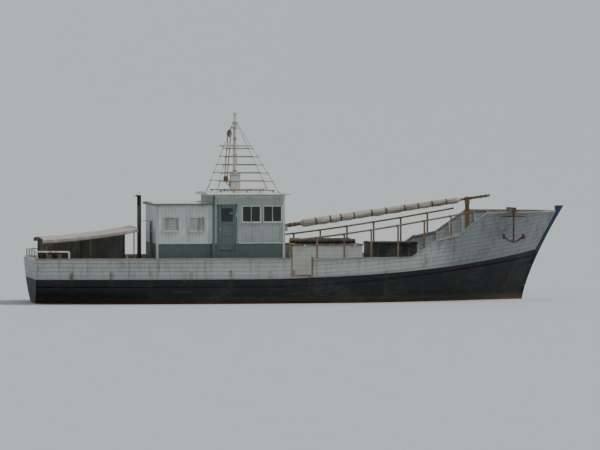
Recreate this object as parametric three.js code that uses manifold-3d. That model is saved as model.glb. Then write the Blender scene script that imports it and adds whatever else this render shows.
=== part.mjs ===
// A wooden motor dhow of about 22 m, at anchor with its lateen yard lowered into its crutch.
// Millimetres. +X points to the bow, +Y to port, +Z up.
// The origin is at the waterline, on the centreline, half way along the hull.
import * as THREE from 'three';
import * as BufferGeometryUtils from 'three/addons/utils/BufferGeometryUtils.js';
import Module from 'manifold-3d';

const wasm = await Module();
wasm.setup();

// Clearances, then how far the blocks reach that only cut
const SEAT = 0.3;
const SNUG = 0.7;
const PIN_GAP = 0.5;
const RUNNING_GAP = 6;
const OVERCUT = 100;
const BEYOND_HULL = 4000;
const FAR = 30000;

// Hull driving dimensions
const STERN_X_AT_WATER = -10850;
const STERN_RAKE = -0.08;
const STEM_X_AT_WATER = 9400;
const STEM_RAKE_LENGTH = 1600;
const STEM_POWER = 1.35;
const FOREFOOT_LENGTH = 1500;
const BOW_TOP = 3600;
const WAIST_TOP = 1800;
const KEEL_BOTTOM = -1600;
const KEEL_HALF_WIDTH = 90;
const STEM_DEPTH = 180;
const STEMHEAD_RISE = 260;
const PLANK = 60;
const BULWARK_PLANK = 50;
const DECK_PLANK = 60;
const LEVEL_CROWDING = 1.3;
const HULL_LEVELS = 7;

// The wale, the thick strake that parts the black bottom from the pale topside, rises to the bow
const WALE_HEIGHT_AFT = 670;
const WALE_RISE = 1300;
const WALE_RISE_START_X = -2000;
const WALE_RISE_LENGTH = 12500;
const WALE_RISE_POWER = 1.8;
const WALE_DEPTH = 180;
const WALE_PROUD = 45;
const DECK_EDGE_ABOVE_WALE = 400;
const DECK_BELOW_EDGE = 20;

// Where the deck levels and bulwarks change
const POOP_DECK_TOP = 1350;
const POOP_BREAK_X = -600;
const FORECASTLE_TOP = 2350;
const FORECASTLE_BREAK_X = 6900;
const HULL_STATIONS = 26;
const BULWARK_STEP_ALONG = 20 / HULL_STATIONS;
const BOW_BULWARK_LOW_TOP = 2500;
const BOW_BULWARK_MID_TOP = 2900;
const BOW_BULWARK_HIGH_ALONG = 22 / HULL_STATIONS;
const CAP_THICKNESS = 60;
const CAP_IN = 110;
const CAP_OUT = 45;
const GANGWAY = { aft: -750, fore: 150, sill: 1150 };

// Sections of the planking, from the transom (along 0) to the stem (along 1).
// keel: height of the lowest edge of the planking; half: half breadth at the sheer;
// bilge and flare: the two powers of the section curve.
const HULL_SECTIONS = [
  { along: 0.0, keel: -150, half: 1950, bilge: 2.2, flare: 0.6 },
  { along: 0.1, keel: -620, half: 2330, bilge: 2.2, flare: 0.72 },
  { along: 0.2, keel: -1050, half: 2580, bilge: 2.4, flare: 0.76 },
  { along: 0.35, keel: -1320, half: 2740, bilge: 2.8, flare: 0.7 },
  { along: 0.5, keel: -1380, half: 2780, bilge: 3.0, flare: 0.66 },
  { along: 0.65, keel: -1360, half: 2720, bilge: 2.7, flare: 0.72 },
  { along: 0.8, keel: -1280, half: 2420, bilge: 1.9, flare: 0.88 },
  { along: 0.9, keel: -1120, half: 1850, bilge: 1.45, flare: 1.0 },
  { along: 0.96, keel: -900, half: 1150, bilge: 1.25, flare: 1.05 },
  { along: 1.0, keel: -620, half: 110, bilge: 1.0, flare: 1.0 },
];

const boat = new THREE.Group();

// Paints and timbers
function paint(red, green, blue, roughness = 0.8, metalness = 0) {
  const color = new THREE.Color().setRGB(red, green, blue);
  return new THREE.MeshStandardMaterial({ color, roughness, metalness });
}
const BLACK_PAINT = paint(0.03, 0.035, 0.04);
const WHITE_PAINT = paint(0.62, 0.64, 0.62);
const GREEN_PAINT = paint(0.42, 0.5, 0.47);
const DECK_WOOD = paint(0.36, 0.28, 0.2);
const OILED_WOOD = paint(0.25, 0.15, 0.08);
const DARK_TARPAULIN = paint(0.05, 0.055, 0.06);
const SAILCLOTH = paint(0.6, 0.57, 0.5);
const AWNING_CLOTH = paint(0.55, 0.5, 0.48);
const STEEL = paint(0.2, 0.2, 0.2, 0.6, 0.8);
const BRONZE = paint(0.45, 0.32, 0.15, 0.4, 0.9);

// Solids and pieces
function solid(geometry) {
  const bare = geometry.clone();
  bare.deleteAttribute('normal');
  bare.deleteAttribute('uv');
  const merged = BufferGeometryUtils.mergeVertices(bare, 1e-3);
  return new wasm.Manifold(new wasm.Mesh({
    numProp: 3,
    vertProperties: new Float32Array(merged.attributes.position.array),
    triVerts: new Uint32Array(merged.index.array),
  }));
}

function join(...geometries) {
  return geometries.map(asSolid).reduce((whole, next) => whole.add(next));
}

function cut(whole, ...geometries) {
  return geometries.map(asSolid).reduce((rest, next) => rest.subtract(next), asSolid(whole));
}

function ordered(a, b) {
  return [Math.min(a, b), Math.max(a, b)];
}

function asSolid(shape) {
  return shape.isBufferGeometry ? solid(shape) : shape;
}

function geometryOf(shape) {
  if (shape.isBufferGeometry) return shape;
  const mesh = shape.getMesh();
  const geometry = new THREE.BufferGeometry();
  geometry.setAttribute('position', new THREE.BufferAttribute(mesh.vertProperties, 3));
  geometry.setIndex(new THREE.BufferAttribute(mesh.triVerts, 1));
  geometry.computeVertexNormals();
  return geometry;
}

function piece(name, shape, material) {
  const mesh = new THREE.Mesh(geometryOf(shape), material);
  mesh.name = name;
  boat.add(mesh);
}

function block(x0, x1, y0, y1, z0, z1) {
  const geometry = new THREE.BoxGeometry(x1 - x0, y1 - y0, z1 - z0);
  return geometry.translate((x0 + x1) / 2, (y0 + y1) / 2, (z0 + z1) / 2);
}

function post(x, y, halfX, halfY, z0, z1) {
  return block(x - halfX, x + halfX, y - halfY, y + halfY, z0, z1);
}

function rod(from, to, radiusFrom, radiusTo = radiusFrom, sides = 8) {
  const start = new THREE.Vector3(...from);
  const end = new THREE.Vector3(...to);
  const run = end.clone().sub(start);
  const geometry = new THREE.CylinderGeometry(radiusTo, radiusFrom, run.length(), sides);
  const turn = new THREE.Quaternion().setFromUnitVectors(new THREE.Vector3(0, 1, 0), run.normalize());
  geometry.applyQuaternion(turn);
  return geometry.translate(...start.add(end).multiplyScalar(0.5).toArray());
}

function outline(points) {
  return new THREE.Shape(points.map(([a, b]) => new THREE.Vector2(a, b)));
}

// A flat board: its outline lies in the named plane and it is thick along the third axis
const BOARD_AXES = {
  xz: [new THREE.Vector3(1, 0, 0), new THREE.Vector3(0, 0, 1), new THREE.Vector3(0, -1, 0)],
  yz: [new THREE.Vector3(0, 1, 0), new THREE.Vector3(0, 0, 1), new THREE.Vector3(1, 0, 0)],
  xy: [new THREE.Vector3(1, 0, 0), new THREE.Vector3(0, 1, 0), new THREE.Vector3(0, 0, 1)],
};

function board(plane, shape, low, high) {
  const geometry = new THREE.ExtrudeGeometry(shape, { depth: high - low, bevelEnabled: false });
  geometry.applyMatrix4(new THREE.Matrix4().makeBasis(...BOARD_AXES[plane]));
  const shift = { xz: [0, high, 0], yz: [low, 0, 0], xy: [0, 0, low] }[plane];
  return geometry.translate(...shift);
}

// Hull form
function blendValue(rows, key, along) {
  const last = rows.length - 1;
  const next = Math.min(last, Math.max(1, rows.findIndex((row) => row.along >= along)));
  const here = next - 1;
  const slope = (index) => {
    const a = Math.max(0, index - 1);
    const b = Math.min(last, index + 1);
    return (rows[b][key] - rows[a][key]) / (rows[b].along - rows[a].along);
  };
  const span = rows[next].along - rows[here].along;
  const t = (along - rows[here].along) / span;
  const rise = rows[here][key] * (2 * t ** 3 - 3 * t ** 2 + 1) + rows[next][key] * (3 * t ** 2 - 2 * t ** 3);
  return rise + span * (slope(here) * (t ** 3 - 2 * t ** 2 + t) + slope(next) * (t ** 3 - t ** 2));
}

function keelLine(along) {
  return blendValue(HULL_SECTIONS, 'keel', along);
}

function sheerReference(along) {
  const t = Math.max(0, (along - 0.6) / 0.4);
  return WAIST_TOP + (BOW_TOP - WAIST_TOP) * t * t * (3 - 2 * t);
}

function halfBreadth(along, z) {
  const keel = keelLine(along);
  const t = Math.min(1, Math.max(0, (z - keel) / (sheerReference(along) - keel)));
  const half = blendValue(HULL_SECTIONS, 'half', along);
  const bilge = blendValue(HULL_SECTIONS, 'bilge', along);
  const flare = blendValue(HULL_SECTIONS, 'flare', along);
  return KEEL_HALF_WIDTH + (half - KEEL_HALF_WIDTH) * (1 - (1 - t) ** bilge) ** flare;
}

function sternX(z) {
  return STERN_X_AT_WATER + STERN_RAKE * z;
}

function stemFaceX(z) {
  if (z >= 0) return STEM_X_AT_WATER + STEM_RAKE_LENGTH * (z / BOW_TOP) ** STEM_POWER;
  return STEM_X_AT_WATER - FOREFOOT_LENGTH * (z / KEEL_BOTTOM) ** 2;
}

function placeX(along, z) {
  const stem = stemFaceX(z) - STEM_DEPTH;
  return sternX(z) + (stem - sternX(z)) * along;
}

function alongAt(x, z) {
  return (x - sternX(z)) / (stemFaceX(z) - STEM_DEPTH - sternX(z));
}

function waleTop(along) {
  const x = placeX(along, WALE_HEIGHT_AFT);
  const t = Math.max(0, (x - WALE_RISE_START_X) / WALE_RISE_LENGTH);
  return WALE_HEIGHT_AFT + WALE_RISE * t ** WALE_RISE_POWER;
}

function deckEdge(along) {
  return waleTop(along) + DECK_EDGE_ABOVE_WALE;
}

function bulwarkTop(along) {
  if (along < BULWARK_STEP_ALONG) return WAIST_TOP;
  if (along >= BOW_BULWARK_HIGH_ALONG) return BOW_TOP;
  const t = (along - BULWARK_STEP_ALONG) / (BOW_BULWARK_HIGH_ALONG - BULWARK_STEP_ALONG);
  return BOW_BULWARK_LOW_TOP + (BOW_BULWARK_MID_TOP - BOW_BULWARK_LOW_TOP) * t;
}

// A block warped to the hull: each corner is placed along the hull, up its height and across it.
// across(along, z, side) gives the distance off the centreline of the block's two sides.
function hullBlock({ from, to, low, high, across, place = placeX, levels = 1, crowding = 1 }) {
  const stations = Math.max(1, Math.round((to - from) * HULL_STATIONS));
  const geometry = new THREE.BoxGeometry(1, 1, 1, stations, 1, levels);
  const corners = geometry.attributes.position;
  for (let i = 0; i < corners.count; i += 1) {
    const along = from + (to - from) * (corners.getX(i) + 0.5);
    const up = (corners.getZ(i) + 0.5) ** crowding;
    const z = low(along) + (high(along) - low(along)) * up;
    corners.setXYZ(i, place(along, z), across(along, z, Math.sign(corners.getY(i))), z);
  }
  return geometry;
}

// The whole hull as a full body, drawn in by the given amount on every side
function hullBody(inset, from, to, high) {
  return hullBlock({
    from, to, high,
    low: (along) => keelLine(along) + inset,
    across: (along, z, side) => side * Math.max(20, halfBreadth(along, z) - inset),
    crowding: LEVEL_CROWDING,
    levels: HULL_LEVELS,
  });
}

// A strake on one side, between two distances out from the hull's surface
function strake(side, from, to, low, high, inner, outer) {
  const across = (along, z, edge) => side * (halfBreadth(along, z) + (edge === side ? outer : inner));
  return hullBlock({ from, to, low, high, across });
}

function hullSurfaceAt(x, z) {
  return halfBreadth(alongAt(x, z), z);
}

const SIDES = [{ side: 1, label: 'port' }, { side: -1, label: 'starboard' }];

// Running gear sizes, needed where the planking and the backbone are bored
const SHAFT_HEIGHT = -950;
const SHAFT_RADIUS = 45;
const STERN_POST_X = -9000;
const STERN_BEARING_LENGTH = 300;
const ENGINE = { aft: -4400, fore: -2300, half: 430, low: -1130, high: 150 };
const STOCK_X = -10050;
const STOCK_RADIUS = 45;
const STOCK_TOP = 250;
const BEARING_GAP = 1;
const ROUND_SIDES = 18;
const BARREL_SIDES = 16;
const HOLD_OPEN_ABOVE_EDGE = 400;

// A round along the shaft line, or down the rudder stock, larger than the shaft or stock by a gap
function shaftBore(x0, x1, gap) {
  return rod([x0, 0, SHAFT_HEIGHT], [x1, 0, SHAFT_HEIGHT], SHAFT_RADIUS + gap, undefined, ROUND_SIDES);
}

function stockBore(z0, z1, radius) {
  return rod([STOCK_X, 0, z0], [STOCK_X, 0, z1], radius + BEARING_GAP, undefined, ROUND_SIDES);
}

// Planking: two shells that meet over the keel, open at the transom
const HOLD_FROM = -1 / HULL_STATIONS;
const HOLD_TO = 1 - 1 / HULL_STATIONS;
const holdTop = (along) => deckEdge(along) + HOLD_OPEN_ABOVE_EDGE;
const holdSpace = hullBody(PLANK, HOLD_FROM, HOLD_TO, holdTop);
const insidePlanking = solid(hullBody(PLANK + SEAT, HOLD_FROM, HOLD_TO, holdTop));
const shell = cut(
  hullBody(0, 0, 1, deckEdge),
  holdSpace,
  shaftBore(STERN_POST_X - OVERCUT, ENGINE.fore, RUNNING_GAP * 2),
  stockBore(SHAFT_HEIGHT, STOCK_TOP + OVERCUT, STOCK_RADIUS),
);
for (const { side, label } of SIDES) {
  const [low, high] = side > 0 ? [-FAR, SEAT / 2] : [-SEAT / 2, FAR];
  piece(`hull_planking_${label}`, cut(shell, block(-FAR, FAR, low, high, -FAR, FAR)), BLACK_PAINT);
}

// Transom: a raked panel that closes the stern
const TRANSOM_THICKNESS = 70;
piece('transom', hullBlock({
  from: 0, to: 1 / HULL_STATIONS, levels: HULL_LEVELS, crowding: LEVEL_CROWDING,
  low: () => keelLine(0),
  high: () => WAIST_TOP,
  across: (along, z, side) => side * halfBreadth(0, z),
  place: (along, z) => sternX(z) - SEAT - TRANSOM_THICKNESS * (1 - along * HULL_STATIONS),
}), WHITE_PAINT);

// Backbone: keel and stem in one outline, then the stern post with the shoe under the rudder
const KEEL_BUTT_STATION = 5;
const SHOE_TOP = -1480;
const SHOE_END_X = -10260;
const HEEL_PIN_RADIUS = 25;
const STEM_POINT_PITCH = 420;

function plankBottomPoint(station) {
  const along = station / HULL_STATIONS;
  return [placeX(along, keelLine(along)), keelLine(along) - SEAT];
}

function stemInnerPoints() {
  const points = [];
  for (let level = 1; level <= HULL_LEVELS; level += 1) {
    const z = keelLine(1) + (deckEdge(1) - keelLine(1)) * (level / HULL_LEVELS) ** LEVEL_CROWDING;
    points.push([placeX(1, z) + SEAT, z]);
  }
  points.push([placeX(1, BOW_TOP) + SEAT, BOW_TOP]);
  points.push([placeX(1, BOW_TOP) + SEAT, BOW_TOP + STEMHEAD_RISE]);
  return points;
}

function keelAndStemOutline() {
  const points = [];
  for (let station = KEEL_BUTT_STATION; station < HULL_STATIONS; station += 1) {
    points.push(plankBottomPoint(station));
  }
  points.push([placeX(1, keelLine(1)) + SEAT, keelLine(1) - SEAT]);
  points.push(...stemInnerPoints());
  for (let z = BOW_TOP + STEMHEAD_RISE; z > KEEL_BOTTOM; z -= STEM_POINT_PITCH) {
    points.push([stemFaceX(z), z]);
  }
  points.push([stemFaceX(KEEL_BOTTOM), KEEL_BOTTOM]);
  points.push([plankBottomPoint(KEEL_BUTT_STATION)[0], KEEL_BOTTOM]);
  return points;
}

function backboneBoard(points) {
  return board('xz', outline(points), -KEEL_HALF_WIDTH, KEEL_HALF_WIDTH);
}
piece('keel_and_stem', backboneBoard(keelAndStemOutline()), BLACK_PAINT);

function sternPostOutline() {
  const buttX = plankBottomPoint(KEEL_BUTT_STATION)[0] - SEAT;
  const points = [[buttX, plankBottomPoint(KEEL_BUTT_STATION)[1]]];
  let station = KEEL_BUTT_STATION - 1;
  while (plankBottomPoint(station)[0] > STERN_POST_X) {
    points.push(plankBottomPoint(station));
    station -= 1;
  }
  const [aftX, aftZ] = plankBottomPoint(station);
  const [foreX, foreZ] = plankBottomPoint(station + 1);
  points.push([STERN_POST_X, aftZ + (foreZ - aftZ) * (STERN_POST_X - aftX) / (foreX - aftX)]);
  points.push([STERN_POST_X, SHOE_TOP], [SHOE_END_X, SHOE_TOP]);
  points.push([SHOE_END_X, KEEL_BOTTOM], [buttX, KEEL_BOTTOM]);
  return points;
}
piece('stern_post', cut(
  backboneBoard(sternPostOutline()),
  shaftBore(STERN_POST_X - OVERCUT, STERN_POST_X + STERN_BEARING_LENGTH, BEARING_GAP),
  shaftBore(STERN_POST_X + STERN_BEARING_LENGTH - 1, ENGINE.aft, RUNNING_GAP * 2),
  stockBore(KEEL_BOTTOM - OVERCUT, SHOE_TOP + OVERCUT, HEEL_PIN_RADIUS),
), BLACK_PAINT);

// Wales, bulwarks and cap rails, one of each to a side.
// The heads of the frames stand inside the bulwarks, from the deck to under the cap rail.
const END_LAP = 1;
const CAP_LAP = 5;
const WALE_LAP = 20;
const BOW_CAP_SETBACK = 0.0015;
const TIMBER = { half: 45, depth: 75, lap: 20, pitch: 520, from: -10350, to: 9300 };
const outsidePlanking = join(
  hullBody(-SNUG, 0, 1, deckEdge).translate(-END_LAP, 0, 0),
  hullBody(-SNUG, 0, 1, deckEdge).translate(END_LAP, 0, 0),
);
const gangway = block(GANGWAY.aft, GANGWAY.fore, -FAR, FAR, GANGWAY.sill, WAIST_TOP + OVERCUT);
const capLow = (along) => bulwarkTop(along) - CAP_LAP;
const bowBulwarks = {};
const capHigh = (along) => bulwarkTop(along) + CAP_THICKNESS;
const waistTop = () => WAIST_TOP;
const bulwarkFoot = (along) => deckEdge(along) + SEAT;
const BOW_FROM = BULWARK_STEP_ALONG + 1e-4;

function timberFoot(x) {
  if (x < POOP_BREAK_X) return POOP_DECK_TOP + SEAT;
  return x > FORECASTLE_BREAK_X ? FORECASTLE_TOP + SEAT : 0;
}

// Upright slices of a band that follows the bulwark's inside, between two distances along the boat
function timberHeads(side, from, to, top) {
  const slices = [];
  for (let x = TIMBER.from; x < TIMBER.to; x += TIMBER.pitch) {
    const inGangway = x > GANGWAY.aft - TIMBER.half && x < GANGWAY.fore + TIMBER.half;
    if (!inGangway) slices.push(post(x, 0, TIMBER.half, BEYOND_HULL, timberFoot(x), FAR));
  }
  const [inner, outer] = [-BULWARK_PLANK - TIMBER.depth, TIMBER.lap - BULWARK_PLANK];
  const band = strake(side, from, to, bulwarkFoot, top, inner, outer);
  return join(...slices).intersect(solid(band));
}

for (const { side, label } of SIDES) {
  const waleLow = (along) => waleTop(along) - WALE_DEPTH;
  const wale = strake(side, 0, 1, waleLow, waleTop, -WALE_LAP, WALE_PROUD);
  piece(`wale_${label}`, cut(wale, outsidePlanking), BLACK_PAINT);
  const waist = strake(side, 0, BULWARK_STEP_ALONG, bulwarkFoot, waistTop, -BULWARK_PLANK, 0);
  const waistCap = strake(side, 0, BULWARK_STEP_ALONG, capLow, capHigh, -CAP_IN, CAP_OUT);
  const waistTimbers = timberHeads(side, 0, BULWARK_STEP_ALONG, waistTop);
  piece(`bulwark_${label}`, cut(join(waist, waistCap, waistTimbers), gangway), WHITE_PAINT);
  const bow = strake(side, BOW_FROM, 1, bulwarkFoot, bulwarkTop, -BULWARK_PLANK, 0);
  const bowCap = strake(side, BOW_FROM + BOW_CAP_SETBACK, HOLD_TO, capLow, capHigh, -CAP_IN, CAP_OUT);
  bowBulwarks[label] = join(bow, bowCap, timberHeads(side, BOW_FROM, HOLD_TO, bulwarkTop));
}

// Decks: the waist deck follows the sheer; the poop and the forecastle are level, each with its break
const MAIN_HATCH = { aft: -340, fore: 2440, half: 1040, top: 2290 };
const FORE_HATCH = { aft: 2960, fore: 4790, half: 640, top: 2340 };
const deckTop = (along) => deckEdge(along) - DECK_BELOW_EDGE;
const BREAK_THICKNESS = 60;
const BREAK_LAP = 40;
const FUSE = 10;
const DECK_REACH = 2900;

function followingSlab(low, high) {
  return hullBlock({ from: 0, to: 1, low, high, across: (along, z, side) => side * BEYOND_HULL });
}

function inside(space, geometry) {
  return space.intersect(asSolid(geometry));
}

// A level deck is cut back from the bulwarks of both sides
function betweenBulwarks(geometry, from, to, high) {
  const inner = -BULWARK_PLANK - SNUG;
  const beyond = SIDES.map(({ side }) => strake(side, from, to, bulwarkFoot, high, inner, BEYOND_HULL));
  return cut(geometry, ...beyond);
}

function hatchway({ aft, fore, half }) {
  return block(aft, fore, -half, half, -FAR, FAR);
}

const deckBand = solid(followingSlab((along) => deckTop(along) - DECK_PLANK, deckTop));
const waistExtent = block(
  POOP_BREAK_X - BREAK_THICKNESS - BREAK_LAP, FORECASTLE_BREAK_X + BREAK_THICKNESS + BREAK_LAP,
  -FAR, FAR, -FAR, FAR,
);
piece('waist_deck', cut(
  inside(insidePlanking, inside(deckBand, waistExtent)),
  hatchway(MAIN_HATCH),
  hatchway(FORE_HATCH),
), DECK_WOOD);

const underDeckTop = solid(followingSlab(() => -500, (along) => deckTop(along) + SEAT));
const poopAft = sternX(POOP_DECK_TOP) + RUNNING_GAP;
const poopFloor = betweenBulwarks(
  block(poopAft, POOP_BREAK_X, -DECK_REACH, DECK_REACH, POOP_DECK_TOP - DECK_PLANK, POOP_DECK_TOP),
  0, BULWARK_STEP_ALONG, waistTop,
);
const POOP_BREAK_HALF = 2600;
const poopBreak = cut(
  block(POOP_BREAK_X - BREAK_THICKNESS, POOP_BREAK_X, -POOP_BREAK_HALF, POOP_BREAK_HALF,
    0, POOP_DECK_TOP - FUSE),
  underDeckTop,
);
const BITT = {
  half: 70, height: 650, x: -10400, spacing: 420, y: 1350,
  beamHeight: 380, beamHalf: 45, beamDepth: 90, beamOver: 150,
};
function sternBitts(side) {
  const y = side * BITT.y;
  const low = POOP_DECK_TOP + BITT.beamHeight;
  const bitts = [BITT.x, BITT.x + BITT.spacing].map((x) => post(x, y, BITT.half, BITT.half,
    POOP_DECK_TOP - FUSE, POOP_DECK_TOP + BITT.height));
  const reach = BITT.spacing / 2;
  const beam = post(BITT.x + reach, y, reach + BITT.beamOver, BITT.beamHalf, low, low + BITT.beamDepth);
  return join(...bitts, beam);
}
piece('poop_deck', join(poopFloor, poopBreak, sternBitts(1), sternBitts(-1)), DECK_WOOD);

const forecastleFore = placeX(1, FORECASTLE_TOP - DECK_PLANK) - RUNNING_GAP;
const breakJoint = FORECASTLE_TOP - 400;
const fullBreadth = (x0, x1, z0, z1) => block(x0, x1, -DECK_REACH, DECK_REACH, z0, z1);
const breakFore = FORECASTLE_BREAK_X + BREAK_THICKNESS;
const forecastleUpper = betweenBulwarks(join(
  fullBreadth(FORECASTLE_BREAK_X, forecastleFore, FORECASTLE_TOP - DECK_PLANK, FORECASTLE_TOP),
  fullBreadth(FORECASTLE_BREAK_X, breakFore, breakJoint, FORECASTLE_TOP - FUSE),
), BOW_FROM, 1, bulwarkTop);
const forecastleLower = inside(insidePlanking,
  fullBreadth(FORECASTLE_BREAK_X, breakFore, 0, breakJoint + BREAK_LAP));
const forecastleBody = cut(
  join(forecastleUpper, betweenBulwarks(forecastleLower, BOW_FROM, 1, bulwarkTop)),
  underDeckTop,
);

// Windlass: two stout posts rise through the forecastle deck and carry a barrel across the boat.
// The barrel has a ratchet rim in its middle, whelps on each side of it and a tapered head at each end.
const WINDLASS = {
  x: 8150, height: 480, postHalf: 80, postAlong: 110, postY: 520, rise: 760, barrel: 120, journal: 50,
  rimHalf: 60, rimRise: 45, headEnd: 890, headRadii: [75, 105], spindleHalf: 900,
};
const WHELP = { count: 8, from: 90, to: 400, half: 22, rise: 19 };
const WINDLASS_AXIS_Z = FORECASTLE_TOP + WINDLASS.height;
function windlassRod(y0, y1, radiusFrom, radiusTo = radiusFrom, sides = BARREL_SIDES) {
  const [low, high] = [y0, y1].map((y) => [WINDLASS.x, y, WINDLASS_AXIS_Z]);
  return rod(low, high, radiusFrom, radiusTo, sides);
}

function windlassPost(side) {
  const y = side * WINDLASS.postY;
  const reach = WINDLASS.postHalf + OVERCUT;
  const upright = post(WINDLASS.x, y, WINDLASS.postAlong, WINDLASS.postHalf,
    FORECASTLE_TOP - FUSE, FORECASTLE_TOP + WINDLASS.rise);
  const seat = WINDLASS.journal + BEARING_GAP;
  return cut(upright, windlassRod(y - reach, y + reach, seat, seat, ROUND_SIDES));
}
piece('forecastle_deck', join(forecastleBody, windlassPost(1), windlassPost(-1)), DECK_WOOD);

function windlassBarrel() {
  const drumEnd = WINDLASS.postY - WINDLASS.postHalf - RUNNING_GAP;
  const headStart = WINDLASS.postY + WINDLASS.postHalf + RUNNING_GAP;
  const { journal, spindleHalf, headRadii } = WINDLASS;
  const spindle = windlassRod(-spindleHalf, spindleHalf, journal, journal, ROUND_SIDES);
  const drum = windlassRod(-drumEnd, drumEnd, WINDLASS.barrel);
  const rim = windlassRod(-WINDLASS.rimHalf, WINDLASS.rimHalf, WINDLASS.barrel + WINDLASS.rimRise);
  const heads = SIDES.map(({ side }) => windlassRod(side * headStart, side * WINDLASS.headEnd, ...headRadii));
  const [inner, outer] = [WINDLASS.barrel - FUSE, WINDLASS.barrel + WHELP.rise];
  const whelps = SIDES.flatMap(({ side }) => Array.from({ length: WHELP.count }, (_, index) => (
    block(inner, outer, ...ordered(side * WHELP.from, side * WHELP.to), -WHELP.half, WHELP.half)
      .rotateY(2 * Math.PI * (index + 0.5) / WHELP.count)
      .translate(WINDLASS.x, 0, WINDLASS_AXIS_Z)
  )));
  return join(spindle, drum, rim, ...heads, ...whelps);
}
piece('windlass_barrel', windlassBarrel(), OILED_WOOD);

// Bow bulwarks, and the cathead on the starboard one, from which the anchor hangs
for (const { label } of SIDES) piece(`bow_bulwark_${label}`, bowBulwarks[label], WHITE_PAINT);
const CATHEAD = { x: 8600, half: 85, inboard: 800, outboard: 330, depth: 170, post: 150 };
const bowRimY = hullSurfaceAt(CATHEAD.x, BOW_TOP);
const catheadLow = BOW_TOP + CAP_THICKNESS + SEAT;
const catheadInner = CATHEAD.inboard - bowRimY;
piece('cathead', join(
  block(CATHEAD.x - CATHEAD.half, CATHEAD.x + CATHEAD.half,
    -bowRimY - CATHEAD.outboard, catheadInner, catheadLow, catheadLow + CATHEAD.depth),
  block(CATHEAD.x - CATHEAD.half + FUSE, CATHEAD.x + CATHEAD.half - FUSE,
    catheadInner - CATHEAD.post, catheadInner - FUSE, FORECASTLE_TOP + SEAT, catheadLow + FUSE),
), OILED_WOOD);

// Fisherman's anchor: a shank with a stock across it, two curved arms and a fluke on each arm
const ANCHOR = {
  y: -bowRimY - 230, length: 1250, shank: 40, shankHead: 32, arm: 430, armTip: 300, crownDip: 260, tube: 38,
  stockHalf: 520, stockDrop: 190, stockRadii: [32, 22],
};
const FLUKE = { inset: 20, half: 30, breadth: 110, low: 130, high: 330 };
function anchor() {
  const top = catheadLow - PIN_GAP;
  const y = ANCHOR.y;
  const crownZ = top - ANCHOR.length;
  const stockZ = top - ANCHOR.stockDrop;
  const stockY = y - SEAT / 2;
  const shank = rod([CATHEAD.x, y, top], [CATHEAD.x, y, crownZ], ANCHOR.shankHead, ANCHOR.shank);
  const stock = [-1, 1].map((end) => rod(
    [CATHEAD.x, stockY, stockZ],
    [CATHEAD.x + end * ANCHOR.stockHalf, stockY, stockZ],
    ...ANCHOR.stockRadii,
  ));
  const arc = new THREE.QuadraticBezierCurve3(
    new THREE.Vector3(CATHEAD.x - ANCHOR.arm, y, crownZ + ANCHOR.armTip),
    new THREE.Vector3(CATHEAD.x, y, crownZ - ANCHOR.crownDip),
    new THREE.Vector3(CATHEAD.x + ANCHOR.arm, y, crownZ + ANCHOR.armTip),
  );
  const section = new THREE.Shape().absarc(0, 0, ANCHOR.tube, 0, Math.PI * 2);
  const sweep = { steps: 10, curveSegments: 2, extrudePath: arc, bevelEnabled: false };
  const arms = new THREE.ExtrudeGeometry(section, sweep);
  const flukes = [-1, 1].map((end) => {
    const x = CATHEAD.x + end * (ANCHOR.arm - FLUKE.inset);
    return post(x, y, FLUKE.half, FLUKE.breadth, crownZ + FLUKE.low, crownZ + FLUKE.high);
  });
  return join(shank, ...stock, arms, ...flukes);
}
piece('anchor', anchor(), STEEL);

// Hatches: each has a coaming on the deck and two leaves hinged on its long sides
const COAMING = 60;
const LEAF = 50;
const LEAF_LAP = 40;
const LEAF_SETBACK = 4;
const HINGE = {
  radius: 16, length: 90, leaf: 10, sides: 10, stand: 6, arm: 10, fromHatchEnd: 300, fromDoorEnd: 250,
  doorStrap: 260, wallStrap: 150, wallGap: 8, wallArm: 6, hatchStrap: 60,
};
const BRACKET = { low: 40, high: 12 };

function coaming({ aft, fore, half, top }) {
  const outer = block(aft - COAMING, fore + COAMING, -half - COAMING, half + COAMING, 0, top);
  const inner = block(aft, fore, -half, half, -FAR, FAR);
  return cut(outer, inner, underDeckTop);
}

// Strap hinges: a knuckle on the moving leaf stands beside a knuckle on the fixed side
function knuckle(x0, x1, y, z) {
  return rod([x0, y, z], [x1, y, z], HINGE.radius, undefined, HINGE.sides);
}

function hatchHingeLine({ half, top }, side) {
  return { y: side * (half + COAMING + LEAF_LAP + HINGE.radius), z: top + HINGE.radius };
}

function hatchHingeStarts({ aft, fore }) {
  return [aft + HINGE.fromHatchEnd, fore - HINGE.fromHatchEnd - HINGE.length];
}

function hatchCoaming(hatch) {
  const parts = [coaming(hatch)];
  const wall = hatch.half + COAMING;
  for (const { side } of SIDES) {
    const { y, z } = hatchHingeLine(hatch, side);
    for (const start of hatchHingeStarts(hatch)) {
      const x0 = start + HINGE.length + PIN_GAP;
      const x1 = x0 + HINGE.length;
      parts.push(knuckle(x0, x1, y, z));
      const low = hatch.top - BRACKET.low;
      parts.push(block(x0, x1, ...ordered(y, side * (wall - FUSE)), low, hatch.top - BRACKET.high));
      parts.push(block(x0, x1, y - HINGE.arm, y + HINGE.arm, low, z));
    }
  }
  return join(...parts);
}

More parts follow.
